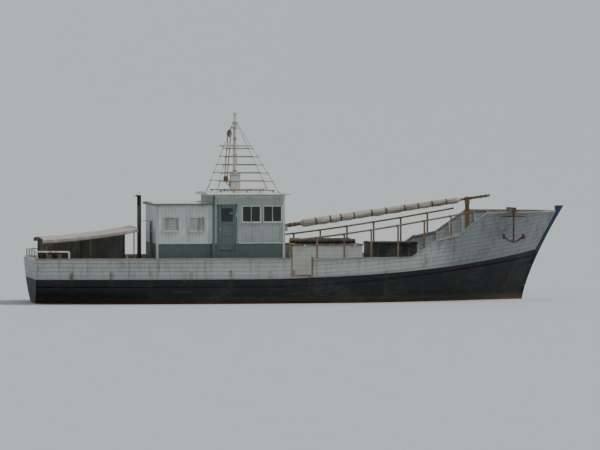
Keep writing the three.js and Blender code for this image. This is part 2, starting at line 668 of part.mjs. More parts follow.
function hatchLeaf(hatch, side) {
  const { aft, fore, half, top } = hatch;
  const low = top + SEAT;
  const outer = side * (half + COAMING + LEAF_LAP - LEAF_SETBACK);
  const parts = [block(aft - COAMING - LEAF_LAP, fore + COAMING + LEAF_LAP,
    ...ordered(side * RUNNING_GAP / 2, outer), low, low + LEAF)];
  const { y, z } = hatchHingeLine(hatch, side);
  for (const start of hatchHingeStarts(hatch)) {
    parts.push(knuckle(start, start + HINGE.length, y, z));
    const end = start + HINGE.length;
    const strapTop = low + LEAF + HINGE.leaf;
    const strapEnd = side * (half - HINGE.hatchStrap);
    parts.push(block(start, end, ...ordered(y, strapEnd), strapTop - HINGE.leaf - 2, strapTop));
    parts.push(block(start, end, ...ordered(y, outer - side * FUSE / 2), z, strapTop));
  }
  return join(...parts);
}

const HATCHES = [
  { name: 'main_hatch', hatch: MAIN_HATCH, coamingPaint: GREEN_PAINT, cover: OILED_WOOD },
  { name: 'fore_hatch', hatch: FORE_HATCH, coamingPaint: BLACK_PAINT, cover: DARK_TARPAULIN },
];
for (const { name, hatch, coamingPaint, cover } of HATCHES) {
  piece(`${name}_coaming`, hatchCoaming(hatch), coamingPaint);
  for (const { side, label } of SIDES) piece(`${name}_leaf_${label}`, hatchLeaf(hatch, side), cover);
}

// Houses: the pilothouse with its raised floor, and the lower deckhouse behind it
const WALL = 50;
const PILOTHOUSE = { aft: -3750, fore: -800, half: 1500, top: 4500, overhang: 220, crown: 80, edge: 50 };
const DECKHOUSE = { aft: -6060, fore: -3750, half: 1450, top: 4100, overhang: 120, crown: 60, edge: 45 };
const PILOT_FLOOR = { top: 2100, thickness: 60 };
const PILOT_WINDOW = { low: 3300, high: 3900 };
const FRONT_WINDOWS = [[-1300, -530], [-385, 385], [530, 1300]];
const SIDE_WINDOWS = [[-2520, -1820], [-1650, -950]];
const DECKHOUSE_WINDOWS = [[-5750, -5150], [-4700, -4100]];
const DECKHOUSE_WINDOW = { low: 2950, high: 3450 };
const SIDE_DOORWAY = { a0: -3520, a1: -2820, low: 2130, high: 3930 };
const AFT_DOORWAY = { a0: -360, a1: 340, low: 1430, high: 3300 };
const SILL_STEP = { out: 320, height: 380 };
const DOOR_FRAME = 110;
const DOOR_LIGHT_DROP = 60;
const CHOCK = { fore: -440, low: 2850, half: 130 };

function underside({ top, crown, edge }) {
  return top - crown - edge;
}

function roof({ aft, fore, half, overhang, top, crown, edge }, aftOverhang) {
  const reach = half + overhang;
  const shape = new THREE.Shape();
  shape.moveTo(-reach, top - crown - edge);
  shape.lineTo(reach, top - crown - edge);
  shape.lineTo(reach, top - crown);
  shape.quadraticCurveTo(0, top + crown, -reach, top - crown);
  return board('yz', shape, aft - aftOverhang, fore + overhang);
}

// Openings cut through a side wall or a cross wall, from rows of [start, end]
function sideOpenings(rows, low, high) {
  return rows.map(([x0, x1]) => block(x0, x1, -FAR, FAR, low, high));
}

function crossOpenings(rows, low, high) {
  return rows.map(([y0, y1]) => block(-FAR, FAR, y0, y1, low, high));
}

// A door fills its doorway with a running gap; its knuckles stand outside the wall on the hinge side
function doorHingeHeights({ low, high }) {
  return [low + HINGE.fromDoorEnd, high - HINGE.fromDoorEnd - HINGE.length];
}

// Side doors hang at their fore edge: on port and starboard the leaf swings outboard and forward
function sideHinge(side) {
  return { x: SIDE_DOORWAY.a1, y: side * (PILOTHOUSE.half + HINGE.radius + HINGE.stand) };
}

function upright(x, y, z0, z1) {
  return rod([x, y, z0], [x, y, z1], HINGE.radius, undefined, HINGE.sides);
}

function sideDoor(side) {
  const { a0, a1, low, high } = SIDE_DOORWAY;
  const face = side * PILOTHOUSE.half;
  const leaf = block(a0 + RUNNING_GAP, a1 - RUNNING_GAP, ...ordered(face, face - side * WALL),
    low + RUNNING_GAP, high - RUNNING_GAP);
  const light = sideOpenings([[a0 + DOOR_FRAME, a1 - DOOR_FRAME]],
    PILOT_WINDOW.low, PILOT_WINDOW.high - DOOR_LIGHT_DROP);
  const parts = [cut(leaf, ...light)];
  const { x, y } = sideHinge(side);
  for (const z of doorHingeHeights(SIDE_DOORWAY)) {
    parts.push(upright(x, y, z, z + HINGE.length));
    const strap = ordered(face - side, face + side * HINGE.leaf);
    parts.push(block(a1 - HINGE.doorStrap, x, ...strap, z, z + HINGE.length));
    parts.push(block(x - HINGE.arm, x + 2, ...ordered(face, y), z, z + HINGE.length));
  }
  return join(...parts);
}

function sideWall(side) {
  const { aft, fore, half } = PILOTHOUSE;
  const face = side * half;
  const low = POOP_DECK_TOP + SEAT;
  const wall = block(aft, fore, ...ordered(face, face - side * WALL), low, underside(PILOTHOUSE) - SEAT);
  const doorway = sideOpenings([[SIDE_DOORWAY.a0, SIDE_DOORWAY.a1]], SIDE_DOORWAY.low, SIDE_DOORWAY.high);
  const parts = [cut(wall, ...sideOpenings(SIDE_WINDOWS, PILOT_WINDOW.low, PILOT_WINDOW.high), ...doorway)];
  const { x, y } = sideHinge(side);
  for (const z of doorHingeHeights(SIDE_DOORWAY)) {
    const z0 = z - HINGE.length - PIN_GAP;
    parts.push(upright(x, y, z0, z - PIN_GAP));
    const start = x + HINGE.wallGap;
    const strap = ordered(face - side, face + side * HINGE.leaf);
    parts.push(block(start, x + HINGE.wallStrap, ...strap, z0, z - PIN_GAP));
    parts.push(block(start, start + HINGE.wallArm, ...ordered(face, y), z0, z - PIN_GAP));
  }
  parts.push(block(SIDE_DOORWAY.a0, SIDE_DOORWAY.a1, ...ordered(face - side, face + side * SILL_STEP.out),
    low, POOP_DECK_TOP + SILL_STEP.height));
  return join(...parts);
}

for (const { side, label } of SIDES) {
  piece(`pilothouse_${label}_wall`, sideWall(side), GREEN_PAINT);
  piece(`pilothouse_${label}_door`, sideDoor(side), GREEN_PAINT);
}

// The yard rests on a chock on the pilothouse's front wall, in a seat cut by a slightly larger yard
const YARD = { aft: [-560, 0, 3070], fore: [8050, 0, 4290], heel: 80, tip: 52 };
const SPAR_SIDES = 14;
const YARD_END_GAP_PER_GROWTH = 0.002;
function yardRod(grow) {
  const run = YARD.fore.map((value, axis) => (value - YARD.aft[axis]) * grow * YARD_END_GAP_PER_GROWTH);
  const heelEnd = YARD.aft.map((value, axis) => value - run[axis]);
  const tipEnd = YARD.fore.map((value, axis) => value + run[axis]);
  return rod(heelEnd, tipEnd, YARD.heel + grow, YARD.tip + grow, SPAR_SIDES);
}

function crossWall({ half }, x0, x1, top, openings = []) {
  const reach = half - WALL - SEAT;
  return cut(block(x0, x1, -reach, reach, POOP_DECK_TOP + SEAT, top - SEAT), ...openings);
}

const frontWall = crossWall(PILOTHOUSE, PILOTHOUSE.fore - WALL, PILOTHOUSE.fore, underside(PILOTHOUSE),
  crossOpenings(FRONT_WINDOWS, PILOT_WINDOW.low, PILOT_WINDOW.high));
const chock = block(PILOTHOUSE.fore - FUSE, CHOCK.fore, -CHOCK.half, CHOCK.half, CHOCK.low, YARD.aft[2]);
piece('pilothouse_front_wall', cut(join(frontWall, chock), yardRod(SEAT)), GREEN_PAINT);
piece('pilothouse_aft_wall',
  crossWall(PILOTHOUSE, PILOTHOUSE.aft, PILOTHOUSE.aft + WALL, underside(PILOTHOUSE)), GREEN_PAINT);

// Deckhouse walls: its fore end is the aft wall of the pilothouse
for (const { side, label } of SIDES) {
  const face = side * DECKHOUSE.half;
  const wall = block(DECKHOUSE.aft, DECKHOUSE.fore - SEAT, ...ordered(face, face - side * WALL),
    POOP_DECK_TOP + SEAT, underside(DECKHOUSE) - SEAT);
  piece(`deckhouse_${label}_wall`,
    cut(wall, ...sideOpenings(DECKHOUSE_WINDOWS, DECKHOUSE_WINDOW.low, DECKHOUSE_WINDOW.high)), GREEN_PAINT);
}

// The deckhouse door hangs at its starboard edge and swings aft
function aftHinge() {
  return { x: DECKHOUSE.aft - HINGE.radius - HINGE.stand, y: AFT_DOORWAY.a0 };
}

function aftDoor() {
  const { a0, a1, low, high } = AFT_DOORWAY;
  const parts = [block(DECKHOUSE.aft, DECKHOUSE.aft + WALL, a0 + RUNNING_GAP, a1 - RUNNING_GAP,
    low + RUNNING_GAP, high - RUNNING_GAP)];
  const { x, y } = aftHinge();
  for (const z of doorHingeHeights(AFT_DOORWAY)) {
    parts.push(upright(x, y, z, z + HINGE.length));
    const end = z + HINGE.length;
    parts.push(block(DECKHOUSE.aft - HINGE.leaf, DECKHOUSE.aft + 1, y, y + HINGE.doorStrap, z, end));
    parts.push(block(x, DECKHOUSE.aft + 1, y, y + HINGE.arm, z, end));
  }
  return join(...parts);
}

function aftWall() {
  const { a0, a1, low, high } = AFT_DOORWAY;
  const parts = [crossWall(DECKHOUSE, DECKHOUSE.aft, DECKHOUSE.aft + WALL, underside(DECKHOUSE),
    crossOpenings([[a0, a1]], low, high))];
  const { x, y } = aftHinge();
  for (const z of doorHingeHeights(AFT_DOORWAY)) {
    const z0 = z - HINGE.length - PIN_GAP;
    parts.push(upright(x, y, z0, z - PIN_GAP));
    const [start, end] = [y - HINGE.wallStrap, y - HINGE.wallGap];
    parts.push(block(DECKHOUSE.aft - HINGE.leaf, DECKHOUSE.aft + 1, start, end, z0, z - PIN_GAP));
    parts.push(block(x, DECKHOUSE.aft + 1, end - HINGE.wallArm, end, z0, z - PIN_GAP));
  }
  return join(...parts);
}
piece('deckhouse_aft_wall', aftWall(), GREEN_PAINT);
piece('deckhouse_door', aftDoor(), GREEN_PAINT);
piece('deckhouse_roof', cut(
  roof(DECKHOUSE, DECKHOUSE.overhang),
  block(DECKHOUSE.fore - SEAT, FAR, -FAR, FAR, -FAR, FAR),
), WHITE_PAINT);

// Mast: stepped in a box on the pilothouse roof, with crosstrees and four stays from a band
const MAST = {
  x: -2600, top: 7650, heelHeight: 60, heel: 105, head: 62, truck: 95, truckDepth: 60, sides: 16,
  band: 7250, bandRadius: 125, bandDepth: 70,
};
const MAST_STEP = { half: 190, top: 5250 };
const CROSSTREE = { z: 6350, half: 45, reach: 640, depth: 35, lift: 5 };
const STAY = {
  radius: 11, sides: 6, x: [-3560, -1000], y: 1380, pad: 45, padHeight: 40, head: 75, headLift: 30, bury: 20,
};

function mastRadiusAt(z) {
  const foot = PILOTHOUSE.top - PILOTHOUSE.crown;
  return MAST.heel + (MAST.head - MAST.heel) * (z - foot) / (MAST.top - foot);
}

function mastPart(z0, z1, radiusLow, radiusHigh) {
  return rod([MAST.x, 0, z0], [MAST.x, 0, z1], radiusLow, radiusHigh, MAST.sides);
}

function mastRod(grow) {
  const foot = PILOTHOUSE.top + MAST.heelHeight;
  return mastPart(foot, MAST.top, mastRadiusAt(foot) + grow, MAST.head + grow);
}

function roofHeightAt(house, y) {
  const reach = house.half + house.overhang;
  return house.top - house.crown + house.crown * (1 - (y / reach) ** 2);
}

function stayPads() {
  const z = roofHeightAt(PILOTHOUSE, STAY.y);
  return STAY.x.flatMap((x) => SIDES.map(({ side }) => block(x - STAY.pad, x + STAY.pad,
    side * STAY.y - STAY.pad, side * STAY.y + STAY.pad, z - STAY.padHeight, z + STAY.padHeight)));
}

const mastStep = block(MAST.x - MAST_STEP.half, MAST.x + MAST_STEP.half, -MAST_STEP.half, MAST_STEP.half,
  PILOTHOUSE.top - MAST.heelHeight, MAST_STEP.top);
const mastSocket = mastRod(SEAT).translate(0, 0, -SEAT);
const pilothouseRoof = join(roof(PILOTHOUSE, PILOTHOUSE.overhang), mastStep, ...stayPads());
piece('pilothouse_roof', cut(pilothouseRoof, mastSocket), WHITE_PAINT);

function mast() {
  const { z, half, reach, depth, lift } = CROSSTREE;
  const alongTree = block(MAST.x - reach, MAST.x + reach, -half, half, z - depth, z + depth);
  const acrossTree = block(MAST.x - half, MAST.x + half, -reach, reach, z - depth + lift, z + depth + lift);
  const truck = mastPart(MAST.top - FUSE, MAST.top + MAST.truckDepth, MAST.truck);
  return join(mastRod(0), alongTree, acrossTree, truck);
}
piece('mast', mast(), WHITE_PAINT);

function mainStays() {
  const band = mastPart(MAST.band, MAST.band + MAST.bandDepth, MAST.bandRadius);
  const bottom = roofHeightAt(PILOTHOUSE, STAY.y) + STAY.padHeight;
  const stays = STAY.x.flatMap((x) => SIDES.map(({ side }) => rod(
    [x, side * STAY.y, bottom - STAY.bury],
    [MAST.x + Math.sign(x - MAST.x) * STAY.head, side * STAY.head, MAST.band + STAY.headLift],
    STAY.radius, undefined, STAY.sides,
  )));
  const belowPads = block(-FAR, FAR, -FAR, FAR, -FAR, bottom + SEAT);
  return cut(join(band, ...stays), mastRod(SEAT), belowPads);
}
piece('main_stays', mainStays(), STEEL);

// Lateen yard lowered fore and aft, its sail furled on it, and the crutch that holds its fore end
const BUNDLE = { from: 0.07, to: 0.86, radius: 190, foreRadius: 137, sides: 16 };
const CRUTCH = { x: 7100, half: 75, across: 170, headLow: 220, postTop: 40, rise: 75 };

function yardPoint(t) {
  return YARD.aft.map((value, axis) => value + (YARD.fore[axis] - value) * t);
}
piece('lateen_yard', yardRod(0), OILED_WOOD);
piece('furled_sail', cut(
  rod(yardPoint(BUNDLE.from), yardPoint(BUNDLE.to), BUNDLE.radius, BUNDLE.foreRadius, BUNDLE.sides),
  yardRod(SEAT),
), SAILCLOTH);

const yardAtCrutch = yardPoint((CRUTCH.x - YARD.aft[0]) / (YARD.fore[0] - YARD.aft[0]))[2];
piece('yard_crutch', cut(
  join(
    block(CRUTCH.x - CRUTCH.half, CRUTCH.x + CRUTCH.half, -CRUTCH.half, CRUTCH.half,
      FORECASTLE_TOP + SEAT, yardAtCrutch - CRUTCH.postTop),
    block(CRUTCH.x - CRUTCH.half, CRUTCH.x + CRUTCH.half, -CRUTCH.across, CRUTCH.across,
      yardAtCrutch - CRUTCH.headLow, yardAtCrutch + CRUTCH.rise),
  ),
  yardRod(SEAT),
  block(-FAR, FAR, -YARD.heel, YARD.heel, yardAtCrutch, FAR),
), OILED_WOOD);

// Inside the pilothouse: the raised floor with the helm pedestal, and the wheel on its spindle
const HELM = {
  x: -1450, pedestalHalf: 110, pedestalAcross: 170, top: 3010, z: 2890,
  spindle: 18, spindleEnd: 40, boreEnd: 60, wheelAbaft: 90,
  wheel: 310, rim: 18, hub: 60, hubHalf: 35, spoke: 11, spokeTurn: 0.02, spokePairs: 4, reach: 420,
};
const WHEEL_X = HELM.x - HELM.pedestalHalf - HELM.wheelAbaft;
function helmRod(from, to, radius) {
  return rod([from, 0, HELM.z], [to, 0, HELM.z], radius, undefined, ROUND_SIDES);
}
const helmBore = helmRod(WHEEL_X, HELM.x + HELM.boreEnd, HELM.spindle + BEARING_GAP);
const pilotFloor = block(PILOTHOUSE.aft + WALL + SEAT, PILOTHOUSE.fore - WALL - SEAT,
  -(PILOTHOUSE.half - WALL - SEAT), PILOTHOUSE.half - WALL - SEAT,
  PILOT_FLOOR.top - PILOT_FLOOR.thickness, PILOT_FLOOR.top);
const pedestal = block(HELM.x - HELM.pedestalHalf, HELM.x + HELM.pedestalHalf,
  -HELM.pedestalAcross, HELM.pedestalAcross, PILOT_FLOOR.top - FUSE, HELM.top);
piece('pilothouse_floor', cut(join(pilotFloor, pedestal), helmBore), DECK_WOOD);

function steeringWheel() {
  const rim = new THREE.TorusGeometry(HELM.wheel, HELM.rim, 6, 20);
  rim.rotateY(Math.PI / 2);
  rim.translate(WHEEL_X, 0, HELM.z);
  const spindle = helmRod(WHEEL_X - HELM.hubHalf - FUSE, HELM.x + HELM.spindleEnd, HELM.spindle);
  const hub = helmRod(WHEEL_X - HELM.hubHalf, WHEEL_X + HELM.hubHalf, HELM.hub);
  const spokes = Array.from({ length: HELM.spokePairs }, (_, index) => {
    const angle = Math.PI * index / HELM.spokePairs + HELM.spokeTurn;
    const y = HELM.reach * Math.cos(angle);
    const z = HELM.reach * Math.sin(angle);
    return rod([WHEEL_X, -y, HELM.z - z], [WHEEL_X, y, HELM.z + z], HELM.spoke, undefined, 8);
  });
  return join(rim, spindle, hub, ...spokes);
}
piece('steering_wheel', steeringWheel(), OILED_WOOD);

// Engine: a plain block on a bed of two bearers and cross beams fitted to the planking
const BEARER = { from: -4700, to: -2000, half: 70 };
const BED_BEAM = { aft: -4500, fore: -2340, length: 140, over: 400 };
piece('engine', block(ENGINE.aft, ENGINE.fore, -ENGINE.half, ENGINE.half, ENGINE.low, ENGINE.high), STEEL);
const bearers = SIDES.map(({ side }) => block(BEARER.from, BEARER.to,
  ...ordered(side * (ENGINE.half - 2 * BEARER.half), side * ENGINE.half), -FAR, ENGINE.low - SEAT));
const bedBeams = [BED_BEAM.aft, BED_BEAM.fore].map((x) => block(x, x + BED_BEAM.length,
  -ENGINE.half - BED_BEAM.over, ENGINE.half + BED_BEAM.over, -FAR, ENGINE.low - SEAT));
const shaftWay = shaftBore(BEARER.from - OVERCUT, BEARER.to + OVERCUT, RUNNING_GAP * 2);
piece('engine_bed', cut(inside(insidePlanking, join(...bearers, ...bedBeams)), shaftWay), OILED_WOOD);

// Exhaust stack between the deckhouse and the awning
const STACK = { x: -6430, y: 900, radius: 85, wall: 8, top: 4330, mouth: 900, sides: 16 };
function stackRod(z0, z1, radius) {
  return rod([STACK.x, STACK.y, z0], [STACK.x, STACK.y, z1], radius, undefined, STACK.sides);
}
piece('exhaust_stack', cut(
  stackRod(POOP_DECK_TOP + SEAT, STACK.top, STACK.radius),
  stackRod(STACK.top - STACK.mouth, STACK.top + OVERCUT, STACK.radius - STACK.wall),
), STEEL);

// Awning: a cloth over the poop on a frame of poles, with a weather cloth hung on the port poles
const AWNING = {
  aft: -10700, fore: -6830, half: 1600, highFore: 3100, highAft: 2660,
  cloth: 14, sag: 60, droop: 90, patches: 8,
};
const POLE = {
  radius: 26, y: 1450, x: [-6970, -8750, -10520], sides: 8, cross: 23.4, crossOver: 30, rail: 21, pressed: 3,
};
const WEATHER_CLOTH = { over: 40, foot: 1650, belowAwning: 125, thick: 10 };

function awningHeight(x) {
  const t = (x - AWNING.aft) / (AWNING.fore - AWNING.aft);
  return AWNING.highAft + (AWNING.highFore - AWNING.highAft) * t - AWNING.sag * 4 * t * (1 - t);
}

function awningCloth(below, above) {
  const geometry = new THREE.BoxGeometry(1, 1, 1, AWNING.patches, AWNING.patches, 1);
  const corners = geometry.attributes.position;
  for (let i = 0; i < corners.count; i += 1) {
    const x = AWNING.aft + (AWNING.fore - AWNING.aft) * (corners.getX(i) + 0.5);
    const across = corners.getY(i) * 2;
    const drop = AWNING.droop * across ** 4;
    const z = awningHeight(x) - drop + (corners.getZ(i) > 0 ? above : -below);
    corners.setXYZ(i, x, across * AWNING.half, z);
  }
  return geometry;
}

function weatherCloth() {
  const geometry = new THREE.BoxGeometry(1, 1, 1, AWNING.patches, 1, 1);
  const corners = geometry.attributes.position;
  const inner = POLE.y + POLE.radius + SEAT;
  const [fore, , aft] = POLE.x;
  for (let i = 0; i < corners.count; i += 1) {
    const x = aft - WEATHER_CLOTH.over + (fore - aft + 2 * WEATHER_CLOTH.over) * (corners.getX(i) + 0.5);
    const y = corners.getY(i) > 0 ? inner + WEATHER_CLOTH.thick : inner;
    const z = corners.getZ(i) > 0 ? awningHeight(x) - WEATHER_CLOTH.belowAwning : WEATHER_CLOTH.foot;
    corners.setXYZ(i, x, y, z);
  }
  return geometry;
}

function awningFrame() {
  const parts = [];
  const pole = (from, to, radius) => rod(from, to, radius, undefined, POLE.sides);
  const dropAtPole = AWNING.droop * (POLE.y / AWNING.half) ** 4;
  const railHeight = (x) => awningHeight(x) - dropAtPole - AWNING.cloth / 2 - POLE.radius + POLE.pressed;
  for (const x of POLE.x) {
    const z = railHeight(x);
    for (const { side } of SIDES) {
      parts.push(pole([x, side * POLE.y, POOP_DECK_TOP + SEAT], [x, side * POLE.y, z], POLE.radius));
    }
    parts.push(pole([x, -POLE.y - POLE.crossOver, z], [x, POLE.y + POLE.crossOver, z], POLE.cross));
  }
  for (const { side } of SIDES) {
    for (let bay = 0; bay < POLE.x.length - 1; bay += 1) {
      const [a, b] = [POLE.x[bay], POLE.x[bay + 1]];
      parts.push(pole([a, side * POLE.y, railHeight(a)], [b, side * POLE.y, railHeight(b)], POLE.rail));
    }
  }
  return join(...parts);
}
const clothHalf = AWNING.cloth / 2;
piece('awning_canopy', awningCloth(clothHalf, clothHalf), AWNING_CLOTH);
piece('awning_frame', cut(awningFrame(), awningCloth(clothHalf + SNUG, OVERCUT)), OILED_WOOD);
piece('weather_cloth', weatherCloth(), DARK_TARPAULIN);

// Side rails along the waist, and the stern rail on the transom
const RAIL = {
  from: -800, to: 7000, low: 2570, high: 3700, power: 1.25, radius: 38, sides: 8,
  postHalf: 32, post: 1120, inset: 32,
};

function railHeightAt(x) {
  const t = (x - RAIL.from) / (RAIL.to - RAIL.from);
  return RAIL.low + (RAIL.high - RAIL.low) * t ** RAIL.power;
}

function sideRail(side) {
  const parts = [];
  const breadthAt = (x) => hullSurfaceAt(x, bulwarkTop(alongAt(x, WAIST_TOP))) - RAIL.inset;
  const place = (x) => [x, side * breadthAt(x), railHeightAt(x)];
  for (let x = RAIL.from; x < RAIL.to; x += RAIL.post) {
    const [, y, z] = place(x);
    parts.push(rod(place(x), place(Math.min(RAIL.to, x + RAIL.post)), RAIL.radius, undefined, RAIL.sides));
    parts.push(post(x, y, RAIL.postHalf, RAIL.postHalf, WAIST_TOP, z));
  }
  const bulwarkAndCap = followingSlab(() => 0, (along) => capHigh(along) + SEAT);
  return cut(join(...parts), bulwarkAndCap);
}
for (const { side, label } of SIDES) piece(`side_rail_${label}`, sideRail(side), OILED_WOOD);

const STERN_RAIL = {
  top: 2130, radius: 34, sides: 8, fore: -9700, cap: 60, capAft: 50, capFore: 120, inset: 40, over: 60,
  posts: 5, postHalf: 30,
};
function sternRail() {
  const edge = sternX(WAIST_TOP);
  const half = halfBreadth(0, WAIST_TOP) - CAP_IN - 2 * SNUG;
  const { top, over } = STERN_RAIL;
  const x = edge + STERN_RAIL.inset;
  const bar = (from, to) => rod([...from, top], [...to, top], STERN_RAIL.radius, undefined, STERN_RAIL.sides);
  const railPost = (postX, y, low) => post(postX, y, STERN_RAIL.postHalf, STERN_RAIL.postHalf, low, top);
  const parts = [
    block(edge - STERN_RAIL.capAft, edge + STERN_RAIL.capFore, -half, half,
      WAIST_TOP + SEAT, WAIST_TOP + STERN_RAIL.cap),
    bar([x, -half - over], [x, half + over]),
  ];
  for (let index = 0; index < STERN_RAIL.posts; index += 1) {
    const y = (half - over) * (2 * index / (STERN_RAIL.posts - 1) - 1);
    parts.push(railPost(x, y, WAIST_TOP + STERN_RAIL.cap - FUSE));
  }
  for (const { side } of SIDES) {
    const foreY = side * (hullSurfaceAt(STERN_RAIL.fore, WAIST_TOP) - RAIL.inset);
    parts.push(bar([x, side * (half + over)], [STERN_RAIL.fore, foreY]));
    parts.push(railPost(STERN_RAIL.fore, foreY, WAIST_TOP + CAP_THICKNESS + SEAT));
  }
  return join(...parts);
}
piece('stern_rail', sternRail(), WHITE_PAINT);

// Rudder on its stock, propeller and shaft
const RUDDER = {
  aft: -10740, fore: -9930, low: SHOE_TOP + 8, half: 32, foreTop: -560, aftTop: -330,
  heelRise: 180, heelCut: 90, heelOut: 20, pinInShoe: 100, pinInBlade: 40,
};
function rudder() {
  const { aft, fore, low } = RUDDER;
  const blade = board('xz', outline([
    [fore, low], [fore, RUDDER.foreTop], [aft, RUDDER.aftTop],
    [aft - RUDDER.heelOut, low + RUDDER.heelRise], [aft + RUDDER.heelCut, low],
  ]), -RUDDER.half, RUDDER.half);
  const upright = (z0, z1, radius) => rod([STOCK_X, 0, z0], [STOCK_X, 0, z1], radius, undefined, ROUND_SIDES);
  const stock = upright(low + 1, STOCK_TOP, STOCK_RADIUS);
  const pin = upright(SHOE_TOP - RUDDER.pinInShoe, low + RUDDER.pinInBlade, HEEL_PIN_RADIUS);
  return join(blade, stock, pin);
}
piece('rudder', rudder(), BLACK_PAINT);

const PROPELLER = {
  x: -9440, radius: 420, hubAft: 73.6, hubFore: 92, hubHalf: 100, blades: 3, root: 60, pitch: 0.95,
  chord: 260, rootThick: 30, tipThick: 12, shaftOver: 60,
};
function propeller() {
  const hub = rod(
    [PROPELLER.x - PROPELLER.hubHalf, 0, SHAFT_HEIGHT],
    [PROPELLER.x + PROPELLER.hubHalf, 0, SHAFT_HEIGHT],
    PROPELLER.hubAft, PROPELLER.hubFore, ROUND_SIDES,
  );
  const blades = Array.from({ length: PROPELLER.blades }, (_, index) => {
    const blade = new THREE.BoxGeometry(1, 1, 1, 1, 4, 5);
    const corners = blade.attributes.position;
    for (let i = 0; i < corners.count; i += 1) {
      const t = corners.getZ(i) + 0.5;
      const radius = PROPELLER.root + (PROPELLER.radius - PROPELLER.root) * t;
      const chord = PROPELLER.chord * Math.sqrt(1 - 0.8 * (2 * t - 1.02) ** 2);
      const width = corners.getY(i) * chord;
      const twist = Math.atan2(PROPELLER.pitch * PROPELLER.radius * 0.5, radius);
      const thick = corners.getX(i) * (PROPELLER.rootThick + (PROPELLER.tipThick - PROPELLER.rootThick) * t);
      const [turn, lean] = [Math.sin(twist), Math.cos(twist)];
      corners.setXYZ(i, width * turn + thick * lean, width * lean - thick * turn, radius);
    }
    blade.rotateX(2 * Math.PI * index / PROPELLER.blades);
    return blade.translate(PROPELLER.x, 0, SHAFT_HEIGHT);
  });
  const reach = PROPELLER.hubHalf + OVERCUT;
  return cut(join(hub, ...blades), shaftBore(PROPELLER.x - reach, PROPELLER.x + reach, SEAT));
}
piece('propeller', propeller(), BRONZE);
const shaftEnd = PROPELLER.x - PROPELLER.hubHalf - PROPELLER.shaftOver;
piece('propeller_shaft', shaftBore(shaftEnd, ENGINE.aft - PIN_GAP, 0), STEEL);

export default boat;
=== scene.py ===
"""Looks of a motor dhow of about 22 m at anchor, its lateen rig stowed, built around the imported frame."""
import math
import random

import bmesh
import bpy
from mathutils import Matrix, Vector
from mathutils.bvhtree import BVHTree


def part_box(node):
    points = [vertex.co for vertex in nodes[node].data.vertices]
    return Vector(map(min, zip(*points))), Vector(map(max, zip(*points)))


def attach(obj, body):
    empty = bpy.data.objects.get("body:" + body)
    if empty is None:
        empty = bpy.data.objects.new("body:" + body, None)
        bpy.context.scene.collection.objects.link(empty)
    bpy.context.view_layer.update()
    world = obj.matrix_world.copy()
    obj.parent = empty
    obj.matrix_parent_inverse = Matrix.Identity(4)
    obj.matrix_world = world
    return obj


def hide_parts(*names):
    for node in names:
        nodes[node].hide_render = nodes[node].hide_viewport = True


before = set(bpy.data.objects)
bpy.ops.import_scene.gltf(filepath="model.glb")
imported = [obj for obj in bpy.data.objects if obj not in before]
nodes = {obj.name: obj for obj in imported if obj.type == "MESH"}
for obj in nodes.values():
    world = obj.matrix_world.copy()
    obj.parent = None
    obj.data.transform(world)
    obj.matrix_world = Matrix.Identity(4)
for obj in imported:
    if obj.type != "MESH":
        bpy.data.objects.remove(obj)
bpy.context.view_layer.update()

# Camera. The boat lies far off, seen from starboard and a little from aft, and from low above the water.
# It is framed larger than in the photograph, from the same direction and distance.
VIEW_AZIMUTH = math.radians(-10.0)
VIEW_ELEVATION = math.radians(1.7)
VIEW_DISTANCE = 190.0
FRAME_WIDTH = 24.6
centre = Vector((0.1, 0.0, 3.1))
back = Vector((
    math.sin(VIEW_AZIMUTH) * math.cos(VIEW_ELEVATION),
    -math.cos(VIEW_AZIMUTH) * math.cos(VIEW_ELEVATION),
    math.sin(VIEW_ELEVATION),
))
camera_data = bpy.data.cameras.new("view")
camera_data.sensor_width = 36.0
camera_data.lens = 36.0 * VIEW_DISTANCE / FRAME_WIDTH
camera_data.clip_end = 3000.0
camera = bpy.data.objects.new("view", camera_data)
camera.location = centre + back * VIEW_DISTANCE
camera.rotation_mode = "QUATERNION"
camera.rotation_quaternion = (-back).to_track_quat("-Z", "Y")
bpy.context.scene.collection.objects.link(camera)
bpy.context.scene.camera = camera

# Light. A pale cool studio sky and one broad soft lamp high ahead of the boat, which rakes along its side.
SKY = (0.74, 0.83, 0.90, 1.0)
world = bpy.data.worlds.new("pale_studio")
world.use_nodes = True
world.node_tree.nodes["Background"].inputs["Color"].default_value = SKY
world.node_tree.nodes["Background"].inputs["Strength"].default_value = 0.56
bpy.context.scene.world = world
lamp_data = bpy.data.lights.new("soft_lamp", "SUN")
lamp_data.energy = 2.6
lamp_data.angle = math.radians(24.0)
lamp_data.color = (1.0, 0.97, 0.92)
lamp = bpy.data.objects.new("soft_lamp", lamp_data)
lamp.rotation_mode = "QUATERNION"
lamp.rotation_quaternion = Vector((-0.62, 0.12, -0.74)).to_track_quat("-Z", "Y")
bpy.context.scene.collection.objects.link(lamp)


